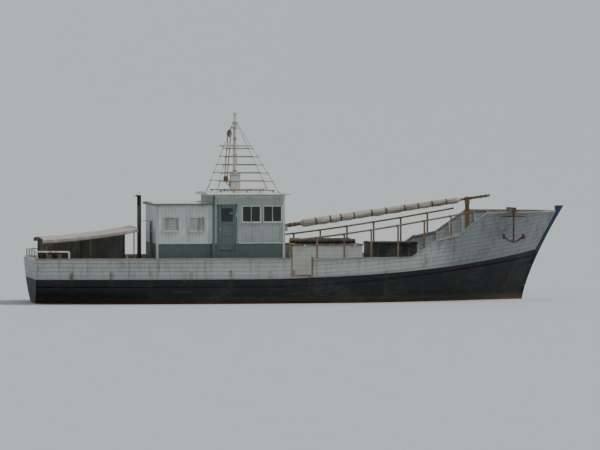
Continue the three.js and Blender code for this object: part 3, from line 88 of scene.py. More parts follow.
class Shade:
    """A socket of one material's nodes, so that a pattern is written as sums and products."""

    def __init__(self, tree, socket):
        self.tree = tree
        self.socket = socket

    def node(self, kind, inputs=(), output=0, **settings):
        """Adds a node: its settings first, then its inputs by name or number."""
        made = self.tree.nodes.new(kind)
        for name, value in settings.items():
            setattr(made, name, value)
        for key, value in dict(inputs).items():
            if isinstance(value, Shade):
                self.tree.links.new(value.socket, made.inputs[key])
            else:
                made.inputs[key].default_value = value
        return Shade(self.tree, made.outputs[output])

    def maths(self, operation, *values):
        return self.node("ShaderNodeMath", enumerate(values), operation=operation)

    def __add__(self, other):
        return self.maths("ADD", self, other)

    def __radd__(self, other):
        return self.maths("ADD", other, self)

    def __sub__(self, other):
        return self.maths("SUBTRACT", self, other)

    def __rsub__(self, other):
        return self.maths("SUBTRACT", other, self)

    def __mul__(self, other):
        return self.maths("MULTIPLY", self, other)

    def __rmul__(self, other):
        return self.maths("MULTIPLY", other, self)

    def __truediv__(self, other):
        return self.maths("DIVIDE", self, other)

    def __pow__(self, other):
        return self.maths("POWER", self, other)

    def at_least(self, other):
        return self.maths("MAXIMUM", self, other)

    def at_most(self, other):
        return self.maths("MINIMUM", self, other)

    def fraction(self):
        return self.maths("FRACT", self)

    def whole(self):
        return self.maths("FLOOR", self)

    def size(self):
        return self.maths("ABSOLUTE", self)

    def axes(self):
        split = self.tree.nodes.new("ShaderNodeSeparateXYZ")
        self.tree.links.new(self.socket, split.inputs[0])
        return [Shade(self.tree, output) for output in split.outputs]

    def rise(self, low, high):
        """0 below low, 1 above high, and a smooth change between them."""
        given = {"Value": self, "From Min": low, "From Max": high, "To Min": 0.0, "To Max": 1.0}
        return self.node("ShaderNodeMapRange", given, interpolation_type="SMOOTHSTEP")

    def lines(self, pitch, width):
        """1 on narrow lines, one every pitch along this value, and 0 between them."""
        off = ((self / pitch + 0.5).fraction() - 0.5).size() * pitch
        return 1 - off.rise(width * 0.3, width * 0.7)

    def mottle(self, scale, stretch=(1.0, 1.0, 1.0), detail=3.0, rough=0.55):
        """Cloudy noise from 0 to 1 over this place, drawn out along the axes where stretch is under 1."""
        scaled = self.node("ShaderNodeVectorMath", {0: self, 1: stretch}, operation="MULTIPLY")
        given = {"Vector": scaled, "Scale": scale, "Detail": detail, "Roughness": rough}
        return self.node("ShaderNodeTexNoise", given)

    def tint(self, low_colour, high_colour):
        """The first colour where this mask is 0 and the second where it is 1."""
        given = {0: self, 6: low_colour, 7: high_colour}
        return self.node("ShaderNodeMix", given, output=2, data_type="RGBA", clamp_factor=True)


def new_finish(name, **constants):
    """A new material with its fixed shader values, and its Object coordinates in metres."""
    material = bpy.data.materials.new(name)
    material.use_nodes = True
    shader = material.node_tree.nodes["Principled BSDF"]
    for socket, value in constants.items():
        shader.inputs[socket.replace("_", " ")].default_value = value
    coordinates = material.node_tree.nodes.new("ShaderNodeTexCoord")
    return material, Shade(material.node_tree, coordinates.outputs["Object"])


def lay_on(material, colour=None, roughness=None, relief=None, depth=0.002, **others):
    """Links what changes over the surface: colour, roughness, relief and any other socket."""
    tree = material.node_tree
    shader = tree.nodes["Principled BSDF"]
    given = {"Base Color": colour, "Roughness": roughness}
    given.update({socket.replace("_", " "): value for socket, value in others.items()})
    for socket, value in given.items():
        if value is not None:
            tree.links.new(value.socket, shader.inputs[socket])
    if relief is not None:
        bump = relief.node("ShaderNodeBump", {"Height": relief, "Strength": 1.0, "Distance": depth})
        tree.links.new(bump.socket, shader.inputs["Normal"])
    return material


def dress(material, *names):
    """Gives CAD nodes their finish; their meshes are left alone."""
    for name in names:
        nodes[name].data.materials.clear()
        nodes[name].data.materials.append(material)


# Floor. A pale studio floor at the waterline, swept up far behind the boat on all sides.
# Its middle is open inside the hull's planking, so that the hold goes down below it.
SIDES = ((1, "port"), (-1, "starboard"))
FAR_OUT = 6.0


def skin_of(*names):
    """The surface of some CAD nodes, for finding where a line meets it."""
    points, triangles = [], []
    for name in names:
        start = len(points)
        points.extend(vertex.co.copy() for vertex in nodes[name].data.vertices)
        triangles.extend([start + index for index in face.vertices] for face in nodes[name].data.polygons)
    return BVHTree.FromPolygons(points, triangles)


def skin_each_side(*stems):
    """The surface of the nodes with these stems, once for port (1) and once for starboard (-1)."""
    return {side: skin_of(*(f"{stem}_{label}" for stem in stems)) for side, label in SIDES}


def breadth_outside(skin, side, x, z):
    """Half-breadth of a skin's outside on one side at x and z, or None where it has none there."""
    hit = skin.ray_cast(Vector((x, side * FAR_OUT, z)), Vector((0.0, -side, 0.0)), FAR_OUT)
    return abs(hit[0].y) if hit[0] is not None else None


def edges_of(verts):
    """The edges that meet at these vertices, each of them once."""
    return list(dict.fromkeys(edge for vert in verts for edge in vert.link_edges))


PLANKING_SKIN = skin_of("hull_planking_port", "hull_planking_starboard")
FLOOR_SIDES = 128
FLOOR_INSET = 0.03
FLOOR_AFT, FLOOR_FORE = -10.80, 9.30
FLOOR_RINGS = [(16.0, 0.0), (60.0, 0.0), (420.0, 0.0), (520.0, 6.0),
               (610.0, 30.0), (670.0, 75.0), (700.0, 140.0), (710.0, 260.0)]
floor_mesh = bmesh.new()
ring = bmesh.ops.create_circle(floor_mesh, segments=FLOOR_SIDES, radius=1.0)["verts"]
for vert in ring:
    angle = math.atan2(vert.co.y, vert.co.x)
    x = (FLOOR_AFT + FLOOR_FORE) / 2 + (FLOOR_FORE - FLOOR_AFT) / 2 * math.cos(angle)
    breadth = breadth_outside(PLANKING_SKIN, -1, x, 0.0) or 2 * FLOOR_INSET
    vert.co = Vector((x, math.copysign(max(breadth - FLOOR_INSET, 0.02), math.sin(angle)), 0.0))
edges = edges_of(ring)
for radius, height in FLOOR_RINGS:
    grown = bmesh.ops.extrude_edge_only(floor_mesh, edges=edges)["geom"]
    edges = [item for item in grown if isinstance(item, bmesh.types.BMEdge)]
    moved = [item for item in grown if isinstance(item, bmesh.types.BMVert)]
    for vert in moved:
        direction = Vector((vert.co.x, vert.co.y * 3.0 if radius < 20.0 else vert.co.y, 0.0)).normalized()
        vert.co = direction * radius + Vector((0.0, 0.0, height))
bmesh.ops.recalc_face_normals(floor_mesh, faces=floor_mesh.faces)
floor_data = bpy.data.meshes.new("studio_floor")
floor_mesh.to_mesh(floor_data)
floor_mesh.free()
floor = bpy.data.objects.new("studio_floor", floor_data)
bpy.context.scene.collection.objects.link(floor)
floor_finish, floor_place = new_finish("pale_floor", Roughness=0.75)
floor_grain = floor_place.mottle(0.6, detail=4.0)
lay_on(floor_finish, colour=floor_grain.tint((0.52, 0.54, 0.55, 1.0), (0.57, 0.59, 0.60, 1.0)))
floor_data.materials.append(floor_finish)


# Hull. Carvel teak planks on sawn frames, caulked and nailed with iron, painted black up to two planks
# above the wale and off-white over that. The bottom has red anti-fouling paint, the stemhead is blue
# and the cap rails are bare hardwood. Rust weeps from the nails; the inside of the hold is oiled timber.
BLACK = (0.014, 0.015, 0.017, 1.0)
BLACK_WORN = (0.062, 0.063, 0.063, 1.0)
PALE = (0.43, 0.44, 0.435, 1.0)
PALE_DIRTY = (0.26, 0.257, 0.24, 1.0)
# The two bow tones are painted shade: a darker, bluer off-white for the shade on the bow's flare, clean and
# dirty.
BOW_PAINTED_SHADE = (0.225, 0.242, 0.256, 1.0)
BOW_DIRT_AND_PAINTED_SHADE = (0.13, 0.138, 0.143, 1.0)
CAP_DARK = (0.17, 0.155, 0.13, 1.0)
CAP_GREY = (0.36, 0.345, 0.31, 1.0)
HOLD_DARK = (0.050, 0.030, 0.018, 1.0)
HOLD_LIGHT = (0.125, 0.078, 0.045, 1.0)
RED_BOTTOM = (0.19, 0.050, 0.032, 1.0)
RED_FADED = (0.30, 0.12, 0.085, 1.0)
RUST = (0.24, 0.095, 0.035, 1.0)
STEM_BLUE = (0.026, 0.050, 0.090, 1.0)
STEM_BLUE_WORN = (0.070, 0.095, 0.125, 1.0)
SLIME = (0.075, 0.085, 0.045, 1.0)
BARE_WOOD = (0.26, 0.20, 0.14, 1.0)
PLANK_PITCH = 0.165
BUTT_PITCH = 5.6
NAIL_PITCH = 0.5
SCUPPER_PITCH = 1.6


def sheer_line(x):
    """Height of the wale's top edge, which the planks' seams follow."""
    ahead = ((x + 2.0) / 12.5).at_least(0.0)
    return ahead ** 1.8 * 1.3 + 0.67


def paint_edge(x):
    """Height where the black paint stops: two planks above the wale aft, and nearer to it at the bow."""
    return sheer_line(x) + 0.33 - x.rise(-1.0, 8.0) * 0.15


def cap_foot(x):
    """Height of the underside of the cap rail: level along the waist, then up in three slopes to the bow."""
    bow = ((x - 5.29) * 0.222 + 2.495).at_least(((x - 6.195) * 0.722 + 2.695).at_most(3.595))
    sweep = (x - 4.236).at_least(0.0) * 0.662 + 1.795
    return bow.at_least(1.795).at_most(sweep)


def hull_finish(name, planked=True, blue_stem=False, capped=False, lined=False, upper=PALE, shine=0.28):
    """Weathered hull paint by height: red bottom, black topsides, off-white above the paint's edge.

    capped leaves the cap rail bare, and lined leaves the inside of the planking oiled.
    """
    material, place = new_finish(name, Specular_IOR_Level=shine)
    x, y, z = place.axes()
    cloud = place.mottle(1.1, (0.6, 1.0, 1.0), 5.0)
    fine = place.mottle(14.0, (0.35, 1.0, 1.0), 4.0, 0.6)
    weeps = place.mottle(5.5, (1.0, 1.0, 0.08), 4.0, 0.65)
    height = z + (fine - 0.5) * 0.018
    above_paint = (height - paint_edge(x)).rise(-0.006, 0.006)
    under_water = 1 - height.rise(0.055, 0.085)
    row = (z - sheer_line(x)) / PLANK_PITCH
    seams = (row * PLANK_PITCH).lines(PLANK_PITCH, 0.010)
    butts = (x + (row.whole() * 0.37).fraction() * BUTT_PITCH).lines(BUTT_PITCH, 0.008)
    joints = seams.at_least(butts)
    nails = (row * PLANK_PITCH + 0.045).lines(PLANK_PITCH * 0.5, 0.024) * x.lines(NAIL_PITCH, 0.024)
    worn = (cloud * 0.6 + fine * 0.4).rise(0.50, 0.72)
    scraped = (place.mottle(2.6, (0.16, 1.0, 1.4), 5.0, 0.7)).rise(0.60, 0.70)
    black = worn.tint(BLACK, BLACK_WORN)
    black = (scraped * (1 - z.rise(0.55, 1.15)) * 0.5).tint(black, (0.105, 0.098, 0.088, 1.0))
    facing = place.node("ShaderNodeTexCoord", output="Normal").axes()[1]
    outside = (facing * y).rise(-0.002, 0.002)
    # Painted shade: forward of about x 6 the outside of the off-white is darkened and blued for the shade on
    # the bow's flare, while the inside keeps the plain off-white.
    forward = (x + cloud * 0.8).rise(5.6, 6.6) * outside
    dirt = (weeps * 0.7 + cloud * 0.3).rise(0.44, 0.70)
    pale = (dirt * 0.8).tint(forward.tint(upper, BOW_PAINTED_SHADE), forward.tint(PALE_DIRTY, BOW_DIRT_AND_PAINTED_SHADE))
    pale = ((1 - (height - paint_edge(x)).rise(0.0, 0.22)) * 0.35).tint(pale, (0.20, 0.185, 0.16, 1.0))
    bottom = worn.tint(RED_BOTTOM, RED_FADED)
    tide = height.rise(0.03, 0.08) * (1 - height.rise(0.14, 0.34)) * (cloud * 0.6 + 0.4)
    colour = above_paint.tint(black, pale)
    colour = (tide * 0.75).tint(colour, SLIME)
    colour = under_water.tint(colour, bottom)
    if blue_stem:
        blue = x.rise(9.70, 9.74) * z.rise(1.90, 1.94)
        colour = blue.tint(colour, worn.tint(STEM_BLUE, STEM_BLUE_WORN))
    if planked:
        drips = weeps.rise(0.58, 0.74) * (fine.rise(0.42, 0.62))
        colour = (drips * z.rise(0.05, 0.3) * 0.42).tint(colour, RUST)
        colour = (nails * fine.rise(0.50, 0.70) * 0.6).tint(colour, RUST)
        streak = (x + fine * 0.10 - 0.05).lines(SCUPPER_PITCH, 0.17)
        streak = streak * (1 - z.rise(1.26, 1.34)) * z.rise(0.05, 0.5)
        streak = streak * (1 - x.rise(6.9, 7.1)) * (above_paint * 0.35 + 0.30) * cloud.rise(0.36, 0.60)
        colour = (streak * weeps.rise(0.25, 0.6)).tint(colour, (0.10, 0.075, 0.05, 1.0))
        colour = (joints * 0.7).tint(colour, (0.035, 0.03, 0.025, 1.0))
        relief = fine * 0.25 - joints + cloud * 0.3
    else:
        relief = fine * 0.35 + cloud * 0.3
    rough = 0.50 + worn * 0.25 + scraped * 0.1
    if capped:
        bare = (z - cap_foot(x)).rise(-0.004, 0.002)
        grain = place.mottle(26.0, (0.06, 1.0, 1.0), 5.0, 0.62)
        colour = bare.tint(colour, (grain * 0.6 + cloud * 0.4).rise(0.35, 0.65).tint(CAP_DARK, CAP_GREY))
    if lined:
        timber = (fine * 0.5 + cloud * 0.5).rise(0.35, 0.65).tint(HOLD_DARK, HOLD_LIGHT)
        colour = outside.tint((joints * 0.6).tint(timber, (0.02, 0.014, 0.01, 1.0)), colour)
    return lay_on(material, colour, rough, relief, 0.006)


hull_paint = hull_finish("hull_paint", lined=True)
dress(hull_paint, "hull_planking_port", "hull_planking_starboard")
dress(hull_finish("transom_paint", shine=0.06), "transom")
dress(hull_finish("wale_paint", planked=False), "wale_port", "wale_starboard")
dress(hull_finish("backbone_paint", planked=False, blue_stem=True), "keel_and_stem", "stern_post")
dress(hull_finish("bulwark_paint", capped=True),
      "bulwark_port", "bulwark_starboard", "bow_bulwark_port", "bow_bulwark_starboard")


def finished(name, mesh, material, body="hull", smooth=35.0):
    """Makes a piece of a bmesh whose place is in its vertices, and lets it ride on its body."""
    bmesh.ops.recalc_face_normals(mesh, faces=mesh.faces)
    data = bpy.data.meshes.new(name)
    mesh.to_mesh(data)
    mesh.free()
    data.polygons.foreach_set("use_smooth", [True] * len(data.polygons))
    data.set_sharp_from_angle(angle=math.radians(smooth))
    data.materials.append(material)
    made = bpy.data.objects.new(name, data)
    bpy.context.scene.collection.objects.link(made)
    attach(made, body)
    return made


def thickened(sheet, thickness):
    """Gives a sheet the thickness of its cloth, half to each face."""
    cloth = sheet.modifiers.new("cloth", "SOLIDIFY")
    cloth.thickness = thickness
    cloth.offset = 0.0


def bevelled(mesh, verts, width):
    """Takes the sharp arris off what these vertices belong to."""
    bmesh.ops.bevel(mesh, geom=edges_of(verts), offset=width, affect="EDGES", segments=1, profile=0.5,
                    material=-1)


def add_block(mesh, low, high, arris=0.0):
    """A squared timber or plate between two corners."""
    low, high = Vector(low), Vector(high)
    place = Matrix.Translation((low + high) / 2) @ Matrix.Diagonal((*(high - low), 1.0))
    verts = bmesh.ops.create_cube(mesh, size=1.0, matrix=place)["verts"]
    if arris:
        bevelled(mesh, verts, arris)


def add_side_block(mesh, side, xs, ys, zs, arris=0.0):
    """A block on one side of the boat; ys are its distances outboard from the middle line."""
    low, high = sorted(side * y for y in ys)
    add_block(mesh, (xs[0], low, zs[0]), (xs[1], high, zs[1]), arris)


def add_bar(mesh, start, end, across, thick, arris=0.0, facing=(0.0, 0.0, 1.0)):
    """A squared bar from start to end; thick is measured along facing, as far as the bar's run lets it."""
    start, end = Vector(start), Vector(end)
    run = (end - start).normalized()
    side = run.cross(Vector(facing)).normalized()
    up = side.cross(run)
    turn = Matrix((side, up, run)).transposed().to_4x4()
    sizes = Matrix.Diagonal((across, thick, (end - start).length, 1.0))
    place = Matrix.Translation((start + end) / 2) @ turn @ sizes
    verts = bmesh.ops.create_cube(mesh, size=1.0, matrix=place)["verts"]
    if arris:
        bevelled(mesh, verts, arris)


def add_rod(mesh, start, end, radius, end_radius=None, sides=12, arris=0.0):
    """A round bar, or a taper where end_radius differs."""
    start, end = Vector(start), Vector(end)
    run = end - start
    place = Matrix.Translation((start + end) / 2) @ run.to_track_quat("Z", "Y").to_matrix().to_4x4()
    tip = radius if end_radius is None else end_radius
    made = bmesh.ops.create_cone(mesh, cap_ends=True, cap_tris=False, segments=sides, radius1=radius,
                                 radius2=tip, depth=run.length, matrix=place)["verts"]
    if arris:
        rims = [edge for edge in edges_of(made) if any(len(face.verts) > 4 for face in edge.link_faces)]
        bmesh.ops.bevel(mesh, geom=rims, offset=arris, affect="EDGES", segments=2, profile=0.5, material=-1)


def add_ring(mesh, middle, axis, radius, wire, steps=16, sides=6):
    """A ring of round wire about an axis: a small circle spun full round."""
    middle, axis = Vector(middle), Vector(axis).normalized()
    out = axis.orthogonal().normalized()
    turn = Matrix((out, axis, out.cross(axis))).transposed().to_4x4()
    place = Matrix.Translation(middle + out * radius) @ turn
    circle = bmesh.ops.create_circle(mesh, segments=sides, radius=wire, matrix=place)["verts"]
    bmesh.ops.spin(mesh, geom=circle + edges_of(circle), cent=middle, axis=axis, angle=math.tau, steps=steps,
                   use_merge=True, use_normal_flip=False, use_duplicate=False)


def add_run(mesh, loops):
    """A solid drawn out from each loop of points to the next, and closed at both ends."""
    row = list(bmesh.ops.create_circle(mesh, cap_ends=True, segments=len(loops[0]), radius=1.0)["verts"])
    edges = edges_of(row)
    for step, loop in enumerate(loops):
        if step:
            order = {vert: index for index, vert in enumerate(row)}
            grown = bmesh.ops.extrude_edge_only(mesh, edges=edges)["geom"]
            edges = [item for item in grown if isinstance(item, bmesh.types.BMEdge)]
            fresh = [item for item in grown if isinstance(item, bmesh.types.BMVert)]
            came_from = {order[edge.other_vert(vert)]: vert
                         for vert in fresh for edge in vert.link_edges if edge.other_vert(vert) in order}
            row = [came_from[index] for index in range(len(row))]
        for vert, point in zip(row, loop):
            vert.co = point
    bmesh.ops.contextual_create(mesh, geom=edges)


def add_line(mesh, points, radius, sides=6, radius_at=None):
    """A round rope, spar or bundle along a line; radius_at gives its radius by step and by side."""
    points = [Vector(point) for point in points]
    loops = []
    for step, point in enumerate(points):
        run = (points[min(step + 1, len(points) - 1)] - points[max(step - 1, 0)]).normalized()
        aside = Vector((0.0, 0.0, 1.0)).cross(run)
        aside = aside.normalized() if aside.length > 0.2 else Vector((1.0, 0.0, 0.0)).cross(run).normalized()
        over = run.cross(aside)
        loop = []
        for index in range(sides):
            turn = math.tau * index / sides
            reach = radius_at(step, index) if radius_at else radius
            loop.append(point + (aside * math.cos(turn) + over * math.sin(turn)) * reach)
        loops.append(loop)
    add_run(mesh, loops)


# Garboard strakes. The planks beside the keel on each side are teak too, a little stouter than the rest and
# chamfered at their edges, from the transom to the fore end of the hold. They are lapped on the inside of
# the planking and close the gap that the hull's hollow leaves there, where the bottom is nearly flat.
GARBOARD_COLUMNS = [0.16 + 0.06 * column for column in range(10)]
GARBOARD_THICK = 0.045
GARBOARD_PROUD = 0.026
GARBOARD_AFT = -10.70
GARBOARD_PITCH = 0.15


def bottom_heights(side, x):
    """Heights of the bottom's outside across the garboards, carried over where the planking is open."""
    heights = []
    for y in GARBOARD_COLUMNS:
        hit = PLANKING_SKIN.ray_cast(Vector((x, side * y, -3.0)), Vector((0.0, 0.0, 1.0)), 4.0)
        heights.append(hit[0].z if hit[0] is not None else None)
    found = [index for index, height in enumerate(heights) if height is not None]
    for index, height in enumerate(heights):
        if height is None:
            before = max(place for place in found if place < index)
            after = min(place for place in found if place > index)
            share = (index - before) / (after - before)
            heights[index] = heights[before] + (heights[after] - heights[before]) * share
    return heights


def cross_section(x, side, corners):
    """One loop for add_run across the boat's length: distances outboard and heights at x."""
    return [Vector((x, side * y, z)) for y, z in corners]


garboards = bmesh.new()
for side in (1, -1):
    stations = [GARBOARD_AFT + GARBOARD_PITCH * step for step in range(93)]
    stations = [(x, bottom_heights(side, x)) for x in stations]
    first, second = stations[0][1], stations[1][1]
    stations.insert(0, (-10.88, [near + (near - far) * 1.2 for near, far in zip(first, second)]))
    loops = []
    for x, heights in stations:
        across = list(zip(GARBOARD_COLUMNS, heights))
        loop = cross_section(x, side, ((y, z - GARBOARD_PROUD) for y, z in across))
        loop[0].z, loop[-1].z = heights[0] + 0.002, heights[-1] + 0.002
        loop += cross_section(x, side, ((y, z + GARBOARD_THICK) for y, z in reversed(across)))
        loops.append(loop)
    add_run(garboards, loops)
finished("garboard_strakes", garboards, hull_paint)

# Waterways. A thick hardwood board covers the joint of the waist deck and the bulwark on each side,
# round the frame heads, and is painted with the bulwark.
BULWARK_SKIN = skin_each_side("bulwark", "bow_bulwark")
WATERWAY_WIDTH = 0.17


def breadth_inside(skin, side, x, z):
    """Half-breadth of a skin's inside at x and z, or None where it has none there."""
    hit = skin.ray_cast(Vector((x, 0.0, z)), Vector((0.0, side, 0.0)), FAR_OUT)
    return abs(hit[0].y) if hit[0] is not None else None


def deck_edge(x):
    """Height of the waist deck at the side, which follows the sheer."""
    return 0.67 + 1.3 * max(0.0, (x + 2.0) / 12.5) ** 1.8 + 0.40


waterways = bmesh.new()
for side in (1, -1):
    for start, end in ((-0.60, 5.10), (5.42, 6.88)):
        loops = []
        for step in range(25):
            x = start + (end - start) * step / 24
            low, high = deck_edge(x) - 0.022, deck_edge(x) + 0.016
            outer = max(breadth_inside(BULWARK_SKIN[side], side, x + shift, high + 0.02) or 0.0
                        for shift in (-0.10, 0.0, 0.10)) + 0.002
            inner = outer - WATERWAY_WIDTH
            loops.append(cross_section(x, side, (
                (outer, low), (outer, high), (inner + 0.008, high), (inner, high - 0.008), (inner, low))))
        add_run(waterways, loops)
finished("waterways", waterways, hull_finish("waterway_paint", planked=False))

# Bow caps. The cap rails run on from the last frame to the stem on each side,
# and a breasthook ties the two bulwarks together below them.
CAP_LOW, CAP_HIGH, CAP_ROUND = 3.600, 3.660, 0.006
BOW_CAPS = [(9.978, 1.012, 1.167), (10.20, 0.770, 0.955), (10.42, 0.490, 0.700),
            (10.62, 0.215, 0.430), (10.80, 0.020, 0.185)]
bow_caps = bmesh.new()
for side in (1, -1):
    add_run(bow_caps, [cross_section(x, side, (
        (outer, CAP_LOW), (outer, CAP_HIGH - CAP_ROUND), (outer - CAP_ROUND, CAP_HIGH),
        (inner + CAP_ROUND, CAP_HIGH), (inner, CAP_HIGH - CAP_ROUND), (inner, CAP_LOW),
    )) for x, inner, outer in BOW_CAPS])
hook = []
for x in (10.16, 10.30, 10.45, 10.60, 10.75):
    half = breadth_inside(BULWARK_SKIN[1], 1, x, 3.55) + 0.004
    hook.append(cross_section(x, 1, ((-half, 3.50), (half, 3.50), (half, 3.598), (-half, 3.598))))
add_run(bow_caps, hook)
finished("bow_caps", bow_caps, hull_finish("bow_cap_wood", planked=False, capped=True))

# Sweep boards. The side below each cap rail's slope, from the waist up to the bow bulwark, is planked flush,
# and a block is spiked over the joint of the two caps. The timber of the loose gear is mixed here too.
WOOD_DARK = (0.105, 0.055, 0.028, 1.0)
WOOD_MID = (0.235, 0.135, 0.070, 1.0)
WOOD_GREY = (0.30, 0.265, 0.22, 1.0)


def wood_finish(name, along, dark=WOOD_DARK, light=WOOD_MID, grey=WOOD_GREY, weather=0.5, gloss=0.55):
    """Oiled or weathered timber whose grain runs along one axis: 0, 1 or 2."""
    material, place = new_finish(name, Specular_IOR_Level=0.35)
    run = [1.0, 1.0, 1.0]
    run[along] = 0.06
    grain = place.mottle(26.0, tuple(run), 5.0, 0.62)
    figure = place.mottle(5.0, tuple(0.25 if axis == along else 1.0 for axis in range(3)), 3.0)
    bleach = place.mottle(1.7, detail=4.0)
    colour = grain.rise(0.30, 0.72).tint(dark, light)
    colour = (figure.rise(0.45, 0.75) * 0.4).tint(colour, dark)
    colour = (bleach.rise(0.35, 0.7) * weather).tint(colour, grey)
    rough = gloss + bleach * 0.25
    return lay_on(material, colour, rough, grain * 0.8 + figure * 0.4, 0.0025)


long_wood = wood_finish("oiled_wood_long", 0)
cross_wood = wood_finish("oiled_wood_cross", 1)
upright_wood = wood_finish("oiled_wood_upright", 2)
SWEEP_AFT, SWEEP_FOOT, SWEEP_FORE = 4.26, 5.036, 5.285


def flared_side(x, z):
    """Half-breadth of the outside at the slope, where the side narrows forward and leans outwards."""
    return 2.583 - 0.163 * (x - 4.242) + 0.155 * (z - 1.80)


sweep_boards = bmesh.new()
for side in (1, -1):
    loops = []
    for step in range(25):
        x = SWEEP_AFT + (SWEEP_FORE - SWEEP_AFT) * step / 24
        low = 1.788 + max(0.0, x - SWEEP_FOOT) * 2.70
        high = 1.805 + (x - 4.236) * 0.6623
        loops.append(cross_section(x, side, ((flared_side(x, z) - inset, z) for z, inset in (
            (low, 0.001), (high, 0.001), (high, 0.049), (low, 0.049)))))
    add_run(sweep_boards, loops)
finished("sweep_boards", sweep_boards, hull_finish("sweep_board_paint"))
scarf_blocks = bmesh.new()
for side in (1, -1):
    add_bar(scarf_blocks, (5.255, side * 2.484, 2.492), (5.400, side * 2.476, 2.566), 0.167, 0.086, 0.004)
scarf_wood = wood_finish("scarf_wood", 0, dark=CAP_DARK, light=CAP_GREY)
finished("cap_scarf_blocks", scarf_blocks, scarf_wood)

# Scuppers. Short pipes of galvanised steel let water off the decks through the planking,
# each with its rim turned over on the outside. The steel of all fittings is mixed here.
OUTER_SKIN = skin_each_side("hull_planking", "bulwark", "bow_bulwark", "wale")
steel_finish, steel_place = new_finish("galvanised_steel")
steel_cloud = steel_place.mottle(6.0, detail=5.0)
steel_rust = steel_place.mottle(11.0, (1.0, 1.0, 0.4), 5.0, 0.65).rise(0.50, 0.66)
steel_colour = steel_cloud.tint((0.30, 0.31, 0.32, 1.0), (0.46, 0.47, 0.48, 1.0))
lay_on(steel_finish, steel_rust.tint(steel_colour, RUST), 0.45 + steel_rust * 0.4,
       steel_cloud + steel_rust * 0.6, 0.002, Metallic=(1 - steel_rust) * 0.75)
scuppers = bmesh.new()
for side in (1, -1):
    for x in (SCUPPER_PITCH * step for step in (-6, -5, -4, -3, -2, -1, 1, 2, 3, 4)):
        z = 1.33 if x < -0.6 else deck_edge(x) + 0.04
        breadth = breadth_outside(OUTER_SKIN[side], side, x, z)
        if breadth:
            mouth = (x, side * (breadth + 0.014), z - 0.006)
            add_rod(scuppers, (x, side * (breadth - 0.03), z), mouth, 0.040, sides=14)
            add_ring(scuppers, mouth, (0.0, 1.0, 0.0), 0.036, 0.009, steps=14, sides=5)
finished("scupper_pipes", scuppers, steel_finish)

# Gangway. The bulwark is open on each side for coming aboard; oak cheeks line the cut ends of its planks
# and a sill board with an iron tread covers the joint of the deck and the side.
gangway = bmesh.new()
treads = bmesh.new()
for side in (1, -1):
    for x0, x1 in ((-0.752, -0.712), (0.112, 0.152)):
        middle = (x0 + x1) / 2
        outer = breadth_outside(OUTER_SKIN[side], side, middle + math.copysign(0.12, middle), 1.45) + 0.012
        add_side_block(gangway, side, (x0, x1), (outer - 0.17, outer), (1.08, 1.875), 0.006)
    outer = breadth_outside(OUTER_SKIN[side], side, -0.30, 1.12) + 0.012
    add_side_block(gangway, side, (-0.715, 0.115), (outer - 0.24, outer), (1.10, 1.175), 0.008)
    add_side_block(gangway, side, (-0.715, -0.597), (outer - 0.24, outer), (1.17, 1.352), 0.006)
    add_side_block(treads, side, (-0.56, 0.09), (outer - 0.155, outer - 0.085), (1.172, 1.179), 0.002)
finished("gangway_cheeks", gangway, wood_finish("gangway_oak", 2, weather=0.7))
finished("gangway_treads", treads, steel_finish)

# Hold. Sawn frames stand about half a metre apart inside the planking, with a stringer along each side
# and a floor of loose boards on the bottom timbers, all oiled hardwood gone dark with cargo and bilge water.
hold_wood = wood_finish("hold_timber", 2, dark=HOLD_DARK, light=HOLD_LIGHT, grey=(0.10, 0.085, 0.07, 1.0))
HOLD_FRAME_DEPTH = 0.085
HOLD_FRAME_HALF = 0.045
HOLD_FRAME_FOOT = -1.10
HOLD_FLOOR = -0.62
hold = bmesh.new()
for side in (1, -1):
    for index in range(34):
        x = -8.83 + 0.52 * index
        loops = []
        for step in range(14):
            z = HOLD_FRAME_FOOT + (deck_edge(x) - 0.12 - HOLD_FRAME_FOOT) * step / 13
            breadth = breadth_inside(PLANKING_SKIN, side, x, z)
            if breadth and breadth > 0.20:
                outer, inner = side * (breadth + 0.004), side * (breadth - HOLD_FRAME_DEPTH)
                aft, fore = x - HOLD_FRAME_HALF, x + HOLD_FRAME_HALF
                corners = ((aft, outer), (fore, outer), (fore, inner), (aft, inner))
                loops.append([Vector((corner_x, y, z)) for corner_x, y in corners])
        if len(loops) > 4:
            add_run(hold, loops)
    loops = []
    for step in range(33):
        x = -8.6 + 16.6 * step / 32
        breadth = breadth_inside(PLANKING_SKIN, side, x, 0.55) - HOLD_FRAME_DEPTH
        outer, inner = breadth + 0.01, breadth - 0.04
        loops.append(cross_section(x, side, ((outer, 0.46), (outer, 0.64), (inner, 0.64), (inner, 0.46))))
    add_run(hold, loops)
finished("hold_frames", hold, hold_wood)
floor_boards = bmesh.new()
for index in range(44):
    x = -1.85 + 0.20 * index
    breadth = min(breadth_inside(PLANKING_SKIN, 1, x + shift, HOLD_FLOOR) for shift in (0.0, 0.19))
    breadth = breadth - HOLD_FRAME_DEPTH - 0.02
    if breadth > 0.3:
        add_block(floor_boards, (x, -breadth, HOLD_FLOOR), (x + 0.19, breadth, HOLD_FLOOR + 0.03), 0.004)
floor_wood = wood_finish("floor_boards", 1, weather=0.8, gloss=0.7)
finished("hold_floor", floor_boards, floor_wood)

